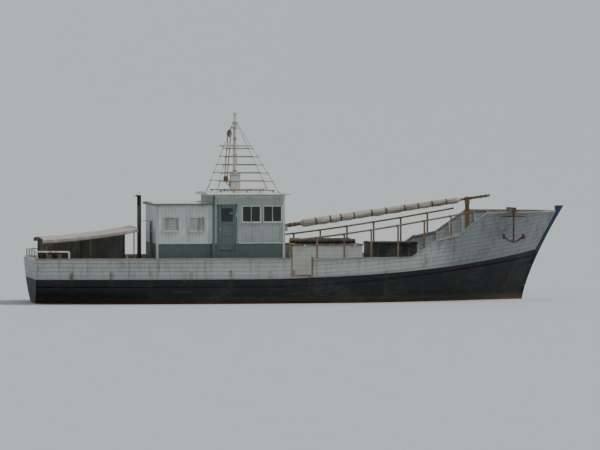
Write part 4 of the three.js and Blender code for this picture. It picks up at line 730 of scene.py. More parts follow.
# Decks. Weathered teak planks laid fore and aft with dark caulking, pegged to the beams.
DECK_DARK = (0.16, 0.125, 0.090, 1.0)
DECK_LIGHT = (0.33, 0.285, 0.225, 1.0)
deck_finish, deck_place = new_finish("deck_planks", Specular_IOR_Level=0.3)
deck_x, deck_y, _ = deck_place.axes()
deck_grain = deck_place.mottle(22.0, (0.07, 1.0, 1.0), 5.0, 0.6)
deck_wet = deck_place.mottle(0.9, detail=5.0, rough=0.6)
deck_row = (deck_y / 0.13).whole()
deck_tone = (deck_row * 0.618).fraction()
deck_joint = deck_y.lines(0.13, 0.009).at_least((deck_x + deck_tone * 4.0).lines(4.0, 0.008))
deck_pegs = (deck_y + 0.065).lines(0.13, 0.022) * deck_x.lines(0.45, 0.022)
deck_colour = (deck_grain * 0.7 + deck_tone * 0.35).rise(0.2, 0.85).tint(DECK_DARK, DECK_LIGHT)
deck_colour = (deck_wet.rise(0.48, 0.7) * 0.55).tint(deck_colour, (0.10, 0.085, 0.07, 1.0))
deck_colour = (deck_pegs * 0.6).tint(deck_colour, (0.09, 0.06, 0.04, 1.0))
deck_colour = deck_joint.tint(deck_colour, (0.02, 0.018, 0.016, 1.0))
lay_on(deck_finish, deck_colour, 0.62 + deck_grain * 0.2 - deck_wet * 0.1,
       deck_grain * 0.4 - deck_joint, 0.004)
dress(deck_finish, "waist_deck", "poop_deck", "forecastle_deck", "pilothouse_floor")

# Hatches. The coamings are painted, and the main hatch has oiled plank covers with lifting rings and straps.
# The fore hatch covers are wrapped in tarred black canvas, held down by battens across them.
HOUSE_GREEN = (0.33, 0.37, 0.358, 1.0)
HOUSE_LIGHT = (0.43, 0.465, 0.45, 1.0)
HOUSE_DARK = (0.115, 0.155, 0.145, 1.0)


def board_finish(name, across, pitch=0.14, dado=None, base=HOUSE_GREEN, light=HOUSE_LIGHT):
    """Old house paint on tongued boards; across gives the direction that the boards' width runs in."""
    material, place = new_finish(name, Specular_IOR_Level=0.4)
    x, y, z = place.axes()
    width = {"x": x, "y": y, "z": z, "xy": x + y}[across]
    cloud = place.mottle(1.8, detail=5.0, rough=0.6)
    fine = place.mottle(18.0, detail=4.0, rough=0.6)
    runs = place.mottle(7.0, (1.0, 1.0, 0.07), 4.0, 0.65)
    joints = width.lines(pitch, 0.010)
    colour = cloud.rise(0.3, 0.7).tint(base, light)
    if dado is not None:
        colour = (1 - z.rise(dado - 0.008, dado + 0.008)).tint(colour, HOUSE_DARK)
    colour = (runs.rise(0.52, 0.75) * 0.45).tint(colour, (0.20, 0.20, 0.17, 1.0))
    chips = (fine * 0.6 + cloud * 0.4).rise(0.615, 0.655)
    colour = chips.tint(colour, BARE_WOOD)
    colour = (joints * 0.55).tint(colour, (0.08, 0.09, 0.08, 1.0))
    relief = fine * 0.3 - joints - chips * 0.5
    return lay_on(material, colour, 0.5 + cloud * 0.2 + chips * 0.2, relief, 0.004)


DADO_TOP = 2.42
house_finish = board_finish("house_boards", "xy", dado=DADO_TOP)
deckhouse_finish = board_finish("deckhouse_boards", "xy", dado=DADO_TOP,
                                base=(0.56, 0.60, 0.59, 1.0), light=(0.68, 0.715, 0.70, 1.0))
# This dark green is paint and painted shade: on the pilothouse doors, their casings and its aft corner
# boards it stands for the shade of the gap between the two houses.
dark_boards_and_shade_finish = board_finish("dark_boards_and_painted_shade", "xy", base=HOUSE_DARK, light=(0.15, 0.195, 0.18, 1.0))
coaming_finish = board_finish("coaming_boards", "z", pitch=0.21,
                              base=(0.60, 0.63, 0.60, 1.0), light=(0.70, 0.715, 0.68, 1.0))
black_coaming = board_finish("tarred_coaming", "z", pitch=0.21, base=BLACK, light=BLACK_WORN)
dress(house_finish, *(f"pilothouse_{wall}_wall" for wall in ("port", "starboard", "front", "aft")))
dress(deckhouse_finish, "deckhouse_port_wall", "deckhouse_starboard_wall", "deckhouse_aft_wall")
dress(dark_boards_and_shade_finish, "pilothouse_port_door", "pilothouse_starboard_door", "deckhouse_door")
dress(coaming_finish, "main_hatch_coaming")
dress(black_coaming, "fore_hatch_coaming")

cover_finish, cover_place = new_finish("hatch_planks", Specular_IOR_Level=0.35)
cover_x = cover_place.axes()[0]
cover_grain = cover_place.mottle(24.0, (1.0, 0.06, 1.0), 5.0, 0.6)
cover_tone = ((cover_x / 0.19).whole() * 0.618).fraction()
cover_joint = cover_x.lines(0.19, 0.011)
cover_colour = (cover_grain * 0.6 + cover_tone * 0.4).rise(0.2, 0.8).tint(WOOD_DARK, (0.27, 0.19, 0.12, 1.0))
cover_colour = (cover_place.mottle(1.6, detail=4.0).rise(0.4, 0.7) * 0.5).tint(cover_colour, WOOD_GREY)
lay_on(cover_finish, cover_joint.tint(cover_colour, (0.02, 0.018, 0.015, 1.0)), 0.6 + cover_grain * 0.2,
       cover_grain * 0.4 - cover_joint, 0.004)
dress(cover_finish, "main_hatch_leaf_port", "main_hatch_leaf_starboard")

LEAF_TOP = 2.3403
RING_PLATE_Y = 0.25
for side, label in SIDES:
    fittings = bmesh.new()
    for x in (0.15, 1.05, 1.95):
        zs = (LEAF_TOP, LEAF_TOP + 0.007)
        add_side_block(fittings, side, (x - 0.025, x + 0.025), (0.10, 0.96), zs, 0.002)
        for y in (side * 0.18, side * 0.53, side * 0.88):
            add_rod(fittings, (x, y, LEAF_TOP + 0.006), (x, y, LEAF_TOP + 0.013), 0.012, sides=8)
    for x in (-0.05, 2.15):
        y, z = side * RING_PLATE_Y, LEAF_TOP + 0.010
        add_block(fittings, (x - 0.05, y - 0.05, LEAF_TOP), (x + 0.05, y + 0.05, LEAF_TOP + 0.006), 0.002)
        add_ring(fittings, (x, y + side * 0.045, z + 0.003), (0.0, 0.12 * side, 1.0), 0.045, 0.006, steps=18)
        add_rod(fittings, (x - 0.018, y, z), (x + 0.018, y, z), 0.009, sides=8)
    body = f"main_leaf_{label}_body"
    finished(f"main_leaf_fittings_{label}", fittings, steel_finish, body)

tarpaulin_finish, tarpaulin_place = new_finish("tarred_canvas", Specular_IOR_Level=0.45)
tar_folds = tarpaulin_place.mottle(3.2, (1.0, 1.6, 1.0), 4.0, 0.55)
tar_weave = tarpaulin_place.mottle(130.0, detail=2.0)
tar_dust = tarpaulin_place.mottle(2.0, detail=5.0, rough=0.65)
tar_colour = tar_dust.rise(0.40, 0.75).tint((0.014, 0.014, 0.015, 1.0), (0.060, 0.057, 0.052, 1.0))
lay_on(tarpaulin_finish, tar_colour, 0.38 + tar_dust * 0.35, tar_folds + tar_weave * 0.06, 0.012)
dress(tarpaulin_finish, "fore_hatch_leaf_port", "fore_hatch_leaf_starboard")

FORE_LEAF_TOP = 2.3903
FORE_LEAF_INNER, FORE_LEAF_OUTER = 0.003, 0.736
TARP_TURN_DOWN = 0.036
for side, label in SIDES:
    low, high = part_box(f"fore_hatch_leaf_{label}")
    length, width = high.x - low.x, FORE_LEAF_OUTER - FORE_LEAF_INNER
    cloth = bmesh.new()
    grid = bmesh.ops.create_grid(cloth, x_segments=60, y_segments=26, size=0.5)["verts"]
    draw = random.Random(7 + side)
    phases = [draw.uniform(0.0, 6.28) for _ in range(6)]
    for vert in grid:
        u, v = vert.co.x + 0.5, vert.co.y + 0.5
        edge = min(u, 1 - u) * length
        wave = 0.5 + 0.25 * math.sin(9 * u + 4 * v + phases[0]) + 0.25 * math.sin(21 * u - 9 * v + phases[1])
        swell = 0.004 + 0.011 * wave * min(1.0, edge / 0.12) * min(1.0, min(v, 1 - v) / 0.12)
        x = low.x - 0.002 + (length + 0.004) * u
        vert.co = Vector((x, side * (FORE_LEAF_INNER + width * v), FORE_LEAF_TOP + swell))
    rim = [edge for edge in cloth.edges if edge.is_boundary]
    skirt = bmesh.ops.extrude_edge_only(cloth, edges=rim)["geom"]
    for vert in (item for item in skirt if isinstance(item, bmesh.types.BMVert)):
        x, y, _ = vert.co
        hem = 0.5 + 0.5 * math.sin(40 * x + phases[2]) * math.sin(23 * y + phases[3])
        on_long_edge = abs(y) > FORE_LEAF_OUTER - 0.001 or abs(y) < FORE_LEAF_INNER + 0.001
        if not (on_long_edge and low.x < x < high.x):
            x += math.copysign(0.003, x - (low.x + high.x) / 2)
        vert.co = Vector((x, y, FORE_LEAF_TOP - TARP_TURN_DOWN - 0.006 * hem))
    body = f"fore_leaf_{label}_body"
    tarpaulin = finished(f"fore_hatch_tarpaulin_{label}", cloth, tarpaulin_finish, body,
                         smooth=60.0)
    thickened(tarpaulin, 0.003)
    battens = bmesh.new()
    for x in (low.x + 0.10, high.x - 0.10):
        zs = (FORE_LEAF_TOP + 0.013, FORE_LEAF_TOP + 0.030)
        add_side_block(battens, side, (x - 0.03, x + 0.03), (0.05, 0.70), zs, 0.004)
    batten = finished(f"fore_hatch_battens_{label}", battens, cross_wood, body)

# Rolled tarpaulins. The main hatch's two tarred covers are rolled up lengthways and tied down on its leaves.
# The finish of all rope is mixed here.
rope_finish, rope_place = new_finish("tarred_rope", Specular_IOR_Level=0.25)
rope_x, rope_y, rope_z = rope_place.axes()
rope_lay = (rope_x + rope_y + rope_z * 1.35).lines(0.034, 0.022)
rope_fuzz = rope_place.mottle(60.0, detail=3.0)
rope_tar = rope_place.mottle(1.2, detail=3.0).rise(0.45, 0.7) * 0.5
rope_colour = rope_fuzz.rise(0.3, 0.7).tint((0.17, 0.125, 0.075, 1.0), (0.34, 0.27, 0.18, 1.0))
rope_colour = rope_tar.tint(rope_colour, (0.12, 0.095, 0.07, 1.0))
rope_colour = (rope_lay * 0.45).tint(rope_colour, (0.07, 0.05, 0.03, 1.0))
lay_on(rope_finish, rope_colour, 0.85 + rope_fuzz * 0.1, rope_fuzz * 0.4 - rope_lay, 0.004)
ROLL_STEPS = 90
ROLL_SIDES = 36
ROLL_TIES = (0.08, 0.36, 0.64, 0.92)
for side, label in SIDES:
    shift = random.Random(20 + side).uniform(0.0, 6.28)

    def roll_radius(step, index):
        """A spiral with a hem that winds a little along the roll, nipped at the ties."""
        at = step / ROLL_STEPS
        turn = (index / ROLL_SIDES + 0.12 * math.sin(5.3 * at + shift)) % 1.0
        nip = min(1.0, min(abs(at - tie) for tie in ROLL_TIES) / 0.03)
        swell = 0.005 * math.sin(13.0 * at + shift) + 0.004 * math.sin(31.0 * at + 2 * math.tau * turn)
        swell += 0.003 * math.sin(17.0 * at - 5 * math.tau * turn)
        return 0.082 + 0.018 * turn + (swell + 0.006) * nip ** 2

    roll_line = []
    for step in range(ROLL_STEPS + 1):
        y = side * (0.62 + 0.010 * math.sin(step / 23.0 + shift))
        roll_line.append(Vector((-0.22 + 2.50 * step / ROLL_STEPS, y, 2.451)))
    roll = bmesh.new()
    add_line(roll, roll_line, 0.1, sides=ROLL_SIDES, radius_at=roll_radius)
    body = f"main_leaf_{label}_body"
    rolled = finished(f"main_hatch_tarpaulin_{label}", roll, tarpaulin_finish, body, 50.0)
    roll_ties = bmesh.new()
    for tie in ROLL_TIES:
        middle = roll_line[round(tie * ROLL_STEPS)]
        for offset in (-0.010, 0.010):
            turn = middle + Vector((offset, 0.0, 0.0))
            add_ring(roll_ties, turn, (1.0, 0.06, 0.0), 0.103, 0.007, steps=28)
        knot = middle + Vector((0.0, side * 0.02, 0.108))
        add_ring(roll_ties, knot, (0.3, 0.2, 1.0), 0.017, 0.007, steps=12)
    finished(f"main_hatch_ties_{label}", roll_ties, rope_finish, body)

# Windows. Each opening has a planted wooden frame outside. The pilothouse has panes of dark, dusty glass
# set in the wall's thickness; the deckhouse has fixed louvres. Frames and louvres are off-white.
trim_finish = hull_finish("moulding_paint", planked=False, upper=(0.58, 0.59, 0.55, 1.0))
glass_finish, glass_place = new_finish("window_glass", Specular_IOR_Level=0.6, IOR=1.45)
glass_dust = glass_place.mottle(3.0, detail=5.0, rough=0.6)
glass_colour = glass_dust.tint((0.012, 0.017, 0.019, 1.0), (0.05, 0.055, 0.05, 1.0))
lay_on(glass_finish, glass_colour, 0.06 + glass_dust * 0.22, Alpha=0.72 + glass_dust * 0.2)
FRAME_FACE = 0.055
FRAME_PROUD = 0.018
SILL_PROUD = 0.040
PILOT_SIDE, DECKHOUSE_SIDE = 1.50, 1.45
PILOT_FRONT = -0.80
LIGHTS_LOW, LIGHTS_HIGH = 3.30, 3.90
SIDE_LIGHTS = [(-2.52, -1.82, LIGHTS_LOW, LIGHTS_HIGH, PILOT_SIDE),
               (-1.65, -0.95, LIGHTS_LOW, LIGHTS_HIGH, PILOT_SIDE),
               (-5.75, -5.15, 2.95, 3.45, DECKHOUSE_SIDE),
               (-4.70, -4.10, 2.95, 3.45, DECKHOUSE_SIDE)]
FRONT_LIGHTS = [(-1.30, -0.53), (-0.385, 0.385), (0.53, 1.30)]


def frame_bars(low, high):
    """The four bars of a frame round an opening: each one's corners in the wall's plane, and how proud."""
    (a0, z0), (a1, z1) = low, high
    face = FRAME_FACE
    return [((a0 - face, z1), (a1 + face, z1 + face), FRAME_PROUD),
            ((a0 - face, z0 - face * 1.3), (a1 + face, z0), SILL_PROUD),
            ((a0 - face, z0), (a0, z1), FRAME_PROUD),
            ((a1, z0), (a1 + face, z1), FRAME_PROUD)]


window_frames = bmesh.new()
panes = bmesh.new()
louvres = bmesh.new()
for side in (1, -1):
    for a0, a1, z0, z1, face in SIDE_LIGHTS:
        for (x0, w0), (x1, w1), proud in frame_bars((a0, z0), (a1, z1)):
            add_side_block(window_frames, side, (x0, x1), (face - 0.002, face + proud), (w0, w1), 0.004)
        bar = ((a0 + a1) / 2 - 0.014, (a0 + a1) / 2 + 0.014)
        add_side_block(window_frames, side, bar, (face - 0.036, face - 0.008), (z0, z1), 0.003)
        if face == PILOT_SIDE:
            add_side_block(panes, side, (a0 + 0.001, a1 - 0.001), (face - 0.030, face - 0.024),
                           (z0 + 0.001, z1 - 0.001))
            continue
        y = side * (face - 0.024)
        for slat in range(8):
            z = z0 + 0.034 + 0.0617 * slat
            add_bar(louvres, (a0 + 0.001, y, z), (a1 - 0.001, y, z), 0.078, 0.008, 0.002,
                    facing=(0.0, side * 0.8, 0.6))
for y0, y1 in FRONT_LIGHTS:
    for (a, w0), (b, w1), proud in frame_bars((y0, LIGHTS_LOW), (y1, LIGHTS_HIGH)):
        add_block(window_frames, (PILOT_FRONT - 0.002, a, w0), (PILOT_FRONT + proud, b, w1), 0.004)
    add_block(panes, (PILOT_FRONT - 0.030, y0 + 0.001, LIGHTS_LOW + 0.001),
              (PILOT_FRONT - 0.024, y1 - 0.001, LIGHTS_HIGH - 0.001))
finished("window_frames", window_frames, trim_finish)
finished("window_panes", panes, glass_finish)
finished("window_louvres", louvres, trim_finish)

# Side doors of the pilothouse. Framed and panelled, with a sash of glass in the upper half,
# hung on strap hinges at the fore edge, with a lever handle on each face at the aft edge.
DOOR_RAILS = [(-3.40, -2.94, 2.15, 2.28), (-3.40, -2.94, 2.72, 2.82), (-3.40, -2.94, 3.20, 3.29),
              (-3.505, -3.405, 2.15, 3.91), (-2.935, -2.875, 2.15, 3.91), (-3.40, -2.94, 3.845, 3.91)]
DOOR_PANELS = [(2.32, 2.68), (2.86, 3.16)]
for side, label in SIDES:
    body = f"pilothouse_{label}_door_body"
    leaf = bmesh.new()
    for x0, x1, z0, z1 in DOOR_RAILS:
        add_side_block(leaf, side, (x0, x1), (PILOT_SIDE - 0.002, PILOT_SIDE + 0.014), (z0, z1), 0.004)
    for zs in DOOR_PANELS:
        add_side_block(leaf, side, (-3.365, -2.975), (PILOT_SIDE - 0.002, PILOT_SIDE + 0.008), zs, 0.006)
    finished(f"door_panels_{label}", leaf, dark_boards_and_shade_finish, body)
    pane = bmesh.new()
    add_side_block(pane, side, (-3.409, -2.931), (PILOT_SIDE - 0.030, PILOT_SIDE - 0.024), (3.301, 3.839))
    finished(f"door_pane_{label}", pane, glass_finish, body)
    handle = bmesh.new()
    for base, out in ((PILOT_SIDE + 0.014, 1.0), (PILOT_SIDE - 0.050, -1.0)):
        add_side_block(handle, side, (-3.475, -3.435), (base, base + out * 0.006), (2.93, 3.07), 0.002)
        y = side * (base + out * 0.045)
        add_rod(handle, (-3.455, side * base, 3.01), (-3.455, y, 3.01), 0.009, sides=10)
        y = side * (base + out * 0.042)
        add_bar(handle, (-3.462, y, 3.01), (-3.345, y, 3.004), 0.016, 0.010, 0.003)
    finished(f"door_handle_{label}", handle, steel_finish, body)

# Deckhouse door. Its leaf is framed and panelled below and louvred above,
# and has a lever handle at its port edge.
AFT_FACE = -6.06
AFT_DOOR_BARS = [
    (-0.34, 1.45, -0.25, 3.28, 0.014), (0.235, 1.45, 0.325, 3.28, 0.014), (-0.25, 1.45, 0.235, 1.60, 0.014),
    (-0.25, 2.18, 0.235, 2.30, 0.014), (-0.25, 3.17, 0.235, 3.28, 0.014),
    (-0.21, 1.64, -0.02, 2.14, 0.008), (0.01, 1.64, 0.20, 2.14, 0.008),
]
after_leaf = bmesh.new()
for y0, z0, y1, z1, proud in AFT_DOOR_BARS:
    add_block(after_leaf, (AFT_FACE - proud, y0, z0), (AFT_FACE + 0.002, y1, z1), 0.004)
for step in range(9):
    start, end = (AFT_FACE - 0.006, -0.245, 2.35 + step * 0.09), (AFT_FACE - 0.006, 0.23, 2.35 + step * 0.09)
    add_bar(after_leaf, start, end, 0.010, 0.075, 0.002, facing=(-0.55, 0.0, 1.0))
finished("deckhouse_door_panels", after_leaf, dark_boards_and_shade_finish, "deckhouse_door_body")
knob = bmesh.new()
add_rod(knob, (AFT_FACE - 0.014, 0.285, 2.24), (AFT_FACE - 0.022, 0.285, 2.24), 0.030, sides=16)
add_rod(knob, (AFT_FACE - 0.020, 0.285, 2.24), (AFT_FACE - 0.060, 0.285, 2.24), 0.009, sides=10)
add_bar(knob, (AFT_FACE - 0.056, 0.292, 2.24), (AFT_FACE - 0.056, 0.180, 2.236), 0.016, 0.010, 0.003)
finished("deckhouse_door_handle", knob, steel_finish, "deckhouse_door_body")

# Joinery of the houses. Corner boards, a base rail at the deck, a rail over the dado and a moulding under
# the eaves cover the boards' ends; door casings stand round the doorways, clear of the leaves.
BOARD_PROUD = 0.016
EAVES_PROUD = 0.022
joinery = bmesh.new()
painted_shade_joinery = bmesh.new()


def add_side_trim(mesh, side, half, xs, zs, arris, proud=BOARD_PROUD):
    """A board planted on a house's side wall, whose face is at half."""
    add_side_block(mesh, side, xs, (half - 0.002, half + proud), zs, arris)


def add_end_trim(face, out, ys, zs, arris, proud=BOARD_PROUD):
    """A board planted on a house's end wall, whose face is at x = face; out is 1 forward and -1 aft."""
    x0, x1 = sorted((face - out * 0.002, face + out * proud))
    add_block(joinery, (x0, ys[0], zs[0]), (x1, ys[1], zs[1]), arris)


# The pilothouse's aft corner boards and door casings are painted dark, as painted shade for the gap between
# the houses.
for side in (1, -1):
    for mesh, half, xs, top in ((joinery, PILOT_SIDE, (-0.885, -0.784), 4.36),
                                (painted_shade_joinery, PILOT_SIDE, (-3.766, -3.665), 4.36),
                                (joinery, DECKHOUSE_SIDE, (-6.076, -5.975), 3.99)):
        add_side_trim(mesh, side, half, xs, (1.352, top), 0.004)
    for half, xs, z in ((PILOT_SIDE, (-3.66, -0.89), 4.27), (DECKHOUSE_SIDE, (-5.97, -3.77), 3.90)):
        add_side_trim(joinery, side, half, xs, (z, z + 0.075), 0.006, EAVES_PROUD)
    for half, xs in ((PILOT_SIDE, (-2.70, -0.89)), (DECKHOUSE_SIDE, (-5.97, -3.77))):
        for zs in ((1.353, 1.50), (2.395, 2.445)):
            add_side_trim(joinery, side, half, xs, zs, 0.005)
    for xs, zs in (((-3.59, -3.525), (2.06, 3.99)), ((-2.81, -2.745), (2.06, 2.275)),
                   ((-2.81, -2.745), (2.485, 3.485)), ((-2.81, -2.745), (3.695, 3.99)),
                   ((-3.59, -2.745), (3.935, 4.00))):
        add_side_trim(painted_shade_joinery, side, PILOT_SIDE, xs, zs, 0.004, 0.012)
for ys in ((-1.49, -0.14), (0.14, 1.49)):
    for zs in ((2.395, 2.445), (1.353, 1.50)):
        add_end_trim(PILOT_FRONT, 1, ys, zs, 0.005)
add_end_trim(PILOT_FRONT, 1, (-1.49, 1.49), (4.27, 4.345), 0.006, EAVES_PROUD)
add_end_trim(AFT_FACE, -1, (-1.43, 1.43), (3.90, 3.975), 0.006, EAVES_PROUD)
add_end_trim(AFT_FACE, -1, (0.352, 0.42), (1.40, 3.37), 0.004)
add_end_trim(AFT_FACE, -1, (-0.44, 0.42), (3.306, 3.37), 0.004)
finished("house_joinery", joinery, trim_finish)
finished("house_green_joinery", painted_shade_joinery, dark_boards_and_shade_finish)

# Roofs. Planked and covered with painted canvas, streaked by rain, with a drip moulding along the eaves
# and a grab rail on short stanchions along each side of the pilothouse roof.
roof_finish, roof_place = new_finish("roof_canvas", Specular_IOR_Level=0.35)
roof_x = roof_place.axes()[0]
roof_cloud = roof_place.mottle(1.3, detail=5.0, rough=0.62)
roof_fine = roof_place.mottle(30.0, detail=3.0)
roof_stain = roof_place.mottle(3.6, (0.35, 1.0, 1.0), 5.0, 0.65).rise(0.5, 0.72)
roof_seam = roof_x.lines(0.92, 0.020)
roof_colour = roof_cloud.rise(0.3, 0.7).tint((0.50, 0.50, 0.47, 1.0), (0.64, 0.635, 0.60, 1.0))
roof_colour = (roof_stain * 0.55).tint(roof_colour, (0.27, 0.245, 0.20, 1.0))
lay_on(roof_finish, (roof_seam * 0.35).tint(roof_colour, (0.30, 0.29, 0.27, 1.0)), 0.6 + roof_cloud * 0.2,
       roof_fine * 0.15 + roof_cloud * 0.4 + roof_seam * 0.6, 0.005)
dress(roof_finish, "pilothouse_roof", "deckhouse_roof")
eaves = bmesh.new()
# The deckhouse's drip mouldings take the dark finish, as painted shade for the dark line under the edge of
# its roof.
eaves_painted_shade = bmesh.new()
for side in (1, -1):
    add_bar(eaves, (-3.97, side * 1.728, 4.395), (-0.58, side * 1.728, 4.395), 0.016, 0.034, 0.005)
    add_bar(eaves_painted_shade, (-6.18, side * 1.578, 4.005), (-3.75, side * 1.578, 4.005), 0.016, 0.075, 0.005)
add_bar(eaves, (-0.572, -1.736, 4.395), (-0.572, 1.736, 4.395), 0.016, 0.034, 0.005)
add_bar(eaves_painted_shade, (-6.188, -1.586, 4.005), (-6.188, 1.586, 4.005), 0.016, 0.075, 0.005)
finished("drip_mouldings", eaves, trim_finish)
finished("deckhouse_drip_mouldings", eaves_painted_shade, dark_boards_and_shade_finish)
grab_rails = bmesh.new()
for side in (1, -1):
    y = side * 1.20
    add_rod(grab_rails, (-3.45, y, 4.545), (-1.15, y, 4.545), 0.019, sides=14, arris=0.005)
    for index in range(5):
        x = -3.38 + 0.54 * index
        add_bar(grab_rails, (x, y, 4.445), (x, y, 4.540), 0.050, 0.028, 0.006, facing=(0.0, 1.0, 0.0))
finished("roof_grab_rails", grab_rails, long_wood)

# Mast. A pole mast in a box step on the pilothouse roof, painted off-white and rubbed bare by the gear,
# with iron bands, a truck at its head and a heavy halyard block slung below the upper band.
mast_finish, mast_place = new_finish("mast_paint", Specular_IOR_Level=0.4)
mast_grain = mast_place.mottle(20.0, (1.0, 1.0, 0.06), 5.0, 0.6)
mast_wear = mast_place.mottle(4.5, (1.0, 1.0, 0.35), 5.0, 0.65)
mast_bare = mast_wear.rise(0.52, 0.62)
mast_colour = mast_bare.tint((0.60, 0.58, 0.53, 1.0), (0.33, 0.25, 0.17, 1.0))
mast_colour = (mast_grain.rise(0.55, 0.75) * 0.35).tint(mast_colour, (0.22, 0.18, 0.13, 1.0))
lay_on(mast_finish, mast_colour, 0.48 + mast_bare * 0.25, mast_grain * 0.5 - mast_bare * 0.4, 0.003)
dress(mast_finish, "mast")
dress(steel_finish, "main_stays", "propeller_shaft")

MAST_X = -2.6
BAND_HEIGHT = 7.25


def mast_radius(z):
    """Radius of the tapering pole at a height."""
    return 0.105 - 0.043 * (z - 4.42) / 3.23


mast_bands = bmesh.new()
for z in (5.30, 5.95, 6.62, 7.05):
    foot, top = (MAST_X, 0.0, z), (MAST_X, 0.0, z + 0.055)
    add_rod(mast_bands, foot, top, mast_radius(z) + 0.007, sides=24, arris=0.003)
for angle in (0.0, math.pi / 2, math.pi, 1.5 * math.pi):
    out = Vector((math.cos(angle), math.sin(angle), 0.0))
    eye = Vector((MAST_X, 0.0, 7.07)) + out * 0.105
    add_ring(mast_bands, eye, out.cross(Vector((0.0, 0.0, 1.0))), 0.026, 0.007, steps=14)
finished("mast_bands", mast_bands, steel_finish)

STAY_FEET = [(-3.56, 1.38), (-1.0, 1.38), (-3.56, -1.38), (-1.0, -1.38)]
STAY_FOOT_Z = 4.46


def stay_point(foot, z):
    """The point of a main stay at a height, from its pad on the roof to the band."""
    x, y = foot
    top = (MAST_X + math.copysign(0.075, x - MAST_X), math.copysign(0.075, y), BAND_HEIGHT + 0.03)
    share = (z - STAY_FOOT_Z) / (top[2] - STAY_FOOT_Z)
    return Vector((x + (top[0] - x) * share, y + (top[1] - y) * share, z))


# Ratlines and screws of the stays. Wooden battens are seized across each pair of stays as a ladder
# to the crosstrees, and each stay ends in a shackle and a rigging screw above its pad.
ratlines = bmesh.new()
seizings = bmesh.new()
for pair in ((0, 1), (2, 3)):
    after_foot, fore_foot = STAY_FEET[pair[0]], STAY_FEET[pair[1]]
    z = 4.92
    while z < 6.25:
        start, end = stay_point(after_foot, z), stay_point(fore_foot, z)
        reach = (end - start).normalized() * 0.05
        outward = Vector((0.0, math.copysign(0.020, after_foot[1]), 0.0))
        add_rod(ratlines, start - reach + outward, end + reach + outward, 0.014, sides=8)
        for point in (start, end):
            add_ring(seizings, point + outward * 0.5, (1.0, 0.0, 0.15), 0.026, 0.007, steps=10, sides=5)
            add_ring(seizings, point + outward * 0.5, (0.15, 0.0, 1.0), 0.026, 0.007, steps=10, sides=5)
        z += 0.33
finished("ratline_battens", ratlines, cross_wood)
finished("ratline_seizings", seizings, rope_finish)
screws = bmesh.new()
for foot in STAY_FEET:
    low, high = stay_point(foot, 4.55), stay_point(foot, 4.86)
    add_rod(screws, low, high, 0.019, sides=10, arris=0.004)
    add_rod(screws, stay_point(foot, 4.50), low, 0.013, sides=8)
    add_ring(screws, stay_point(foot, 4.505), (1.0, 0.0, 0.0), 0.026, 0.008, steps=12)
finished("rigging_screws", screws, steel_finish)

# Halyard. A long four-part tackle of tarred rope runs between a block at the masthead and one at the foot
# of the mast, set up taut abaft it, with its fall made fast to a cleat on the step.
UPPER_BLOCK = Vector((-2.83, 0.0, 6.86))
LOWER_BLOCK = Vector((-2.98, 0.0, 5.00))


def add_block_shell(mesh, middle, width, height, thick, cheeks=2):
    """A wooden rigging block: rounded cheeks on each side of its sheaves."""
    for index in range(cheeks + 1):
        y = middle.y + (index / cheeks - 0.5) * (thick - 0.022)
        place = Matrix.Translation((middle.x, y, middle.z)) @ Matrix.Diagonal((width, 0.030, height, 1.0))
        bmesh.ops.create_uvsphere(mesh, u_segments=20, v_segments=10, radius=0.5, matrix=place)


blocks = bmesh.new()
add_block_shell(blocks, UPPER_BLOCK, 0.20, 0.30, 0.16)
add_block_shell(blocks, LOWER_BLOCK, 0.18, 0.27, 0.14)
for middle, thick in ((UPPER_BLOCK, 0.16), (LOWER_BLOCK, 0.14)):
    for half, radius, sides in ((thick / 2, 0.014, 10), (thick / 2 - 0.02, 0.070, 20)):
        pin = Vector((0.0, half, 0.0))
        add_rod(blocks, middle - pin, middle + pin, radius, sides=sides)
finished("halyard_blocks", blocks, upright_wood)
halyard = bmesh.new()
for y in (-0.035, 0.035):
    for x in (-0.062, 0.062):
        add_line(halyard, [UPPER_BLOCK + Vector((x, y, 0.0)),
                           (UPPER_BLOCK + LOWER_BLOCK) / 2 + Vector((x * 0.9, y, 0.0)),
                           LOWER_BLOCK + Vector((x * 0.85, y, 0.0))], 0.013, sides=7)
add_line(halyard, [UPPER_BLOCK + Vector((0.0, 0.0, 0.13)), UPPER_BLOCK + Vector((0.06, 0.0, 0.22)),
                   (MAST_X - 0.085, 0.0, 7.14)], 0.017, sides=7)
add_line(halyard, [LOWER_BLOCK + Vector((0.0, 0.0, -0.11)), (-2.93, 0.0, 4.80), (-2.80, 0.0, 4.72)],
         0.017, sides=7)
add_line(halyard, [LOWER_BLOCK + Vector((0.07, 0.05, 0.0)), (-2.86, 0.09, 4.92), (-2.812, 0.10, 4.78)],
         0.011, sides=7)
finished("halyard_tackle", halyard, rope_finish)
step_gear = bmesh.new()
add_bar(step_gear, (-2.812, 0.10, 4.66), (-2.812, 0.10, 4.90), 0.035, 0.030, 0.008, facing=(1.0, 0.0, 0.0))
add_rod(step_gear, (-2.80, 0.10, 4.78), (-2.785, 0.10, 4.78), 0.02, sides=10)
for z in (4.55, 5.12):
    add_block(step_gear, (-2.798, -0.198, z), (-2.402, 0.198, z + 0.05), 0.003)
finished("mast_step_gear", step_gear, steel_finish)

# Yard. A long tapering spar, woolded with rope near both its ends. It is lowered fore and aft
# on the pilothouse chock and the crutch, and lashed at both.
dress(long_wood, "lateen_yard")
dress(upright_wood, "yard_crutch", "cathead", "engine_bed")
YARD_HEEL = Vector((-0.56, 0.0, 3.07))
YARD_TIP = Vector((8.05, 0.0, 4.29))
YARD_RUN = YARD_TIP - YARD_HEEL


def yard_at(share):
    """A point on the yard's axis, from 0 at its heel to 1 at its tip."""
    return YARD_HEEL + YARD_RUN * share


def yard_radius(share):
    """Radius of the yard, which tapers to its tip."""
    return 0.080 - 0.028 * share


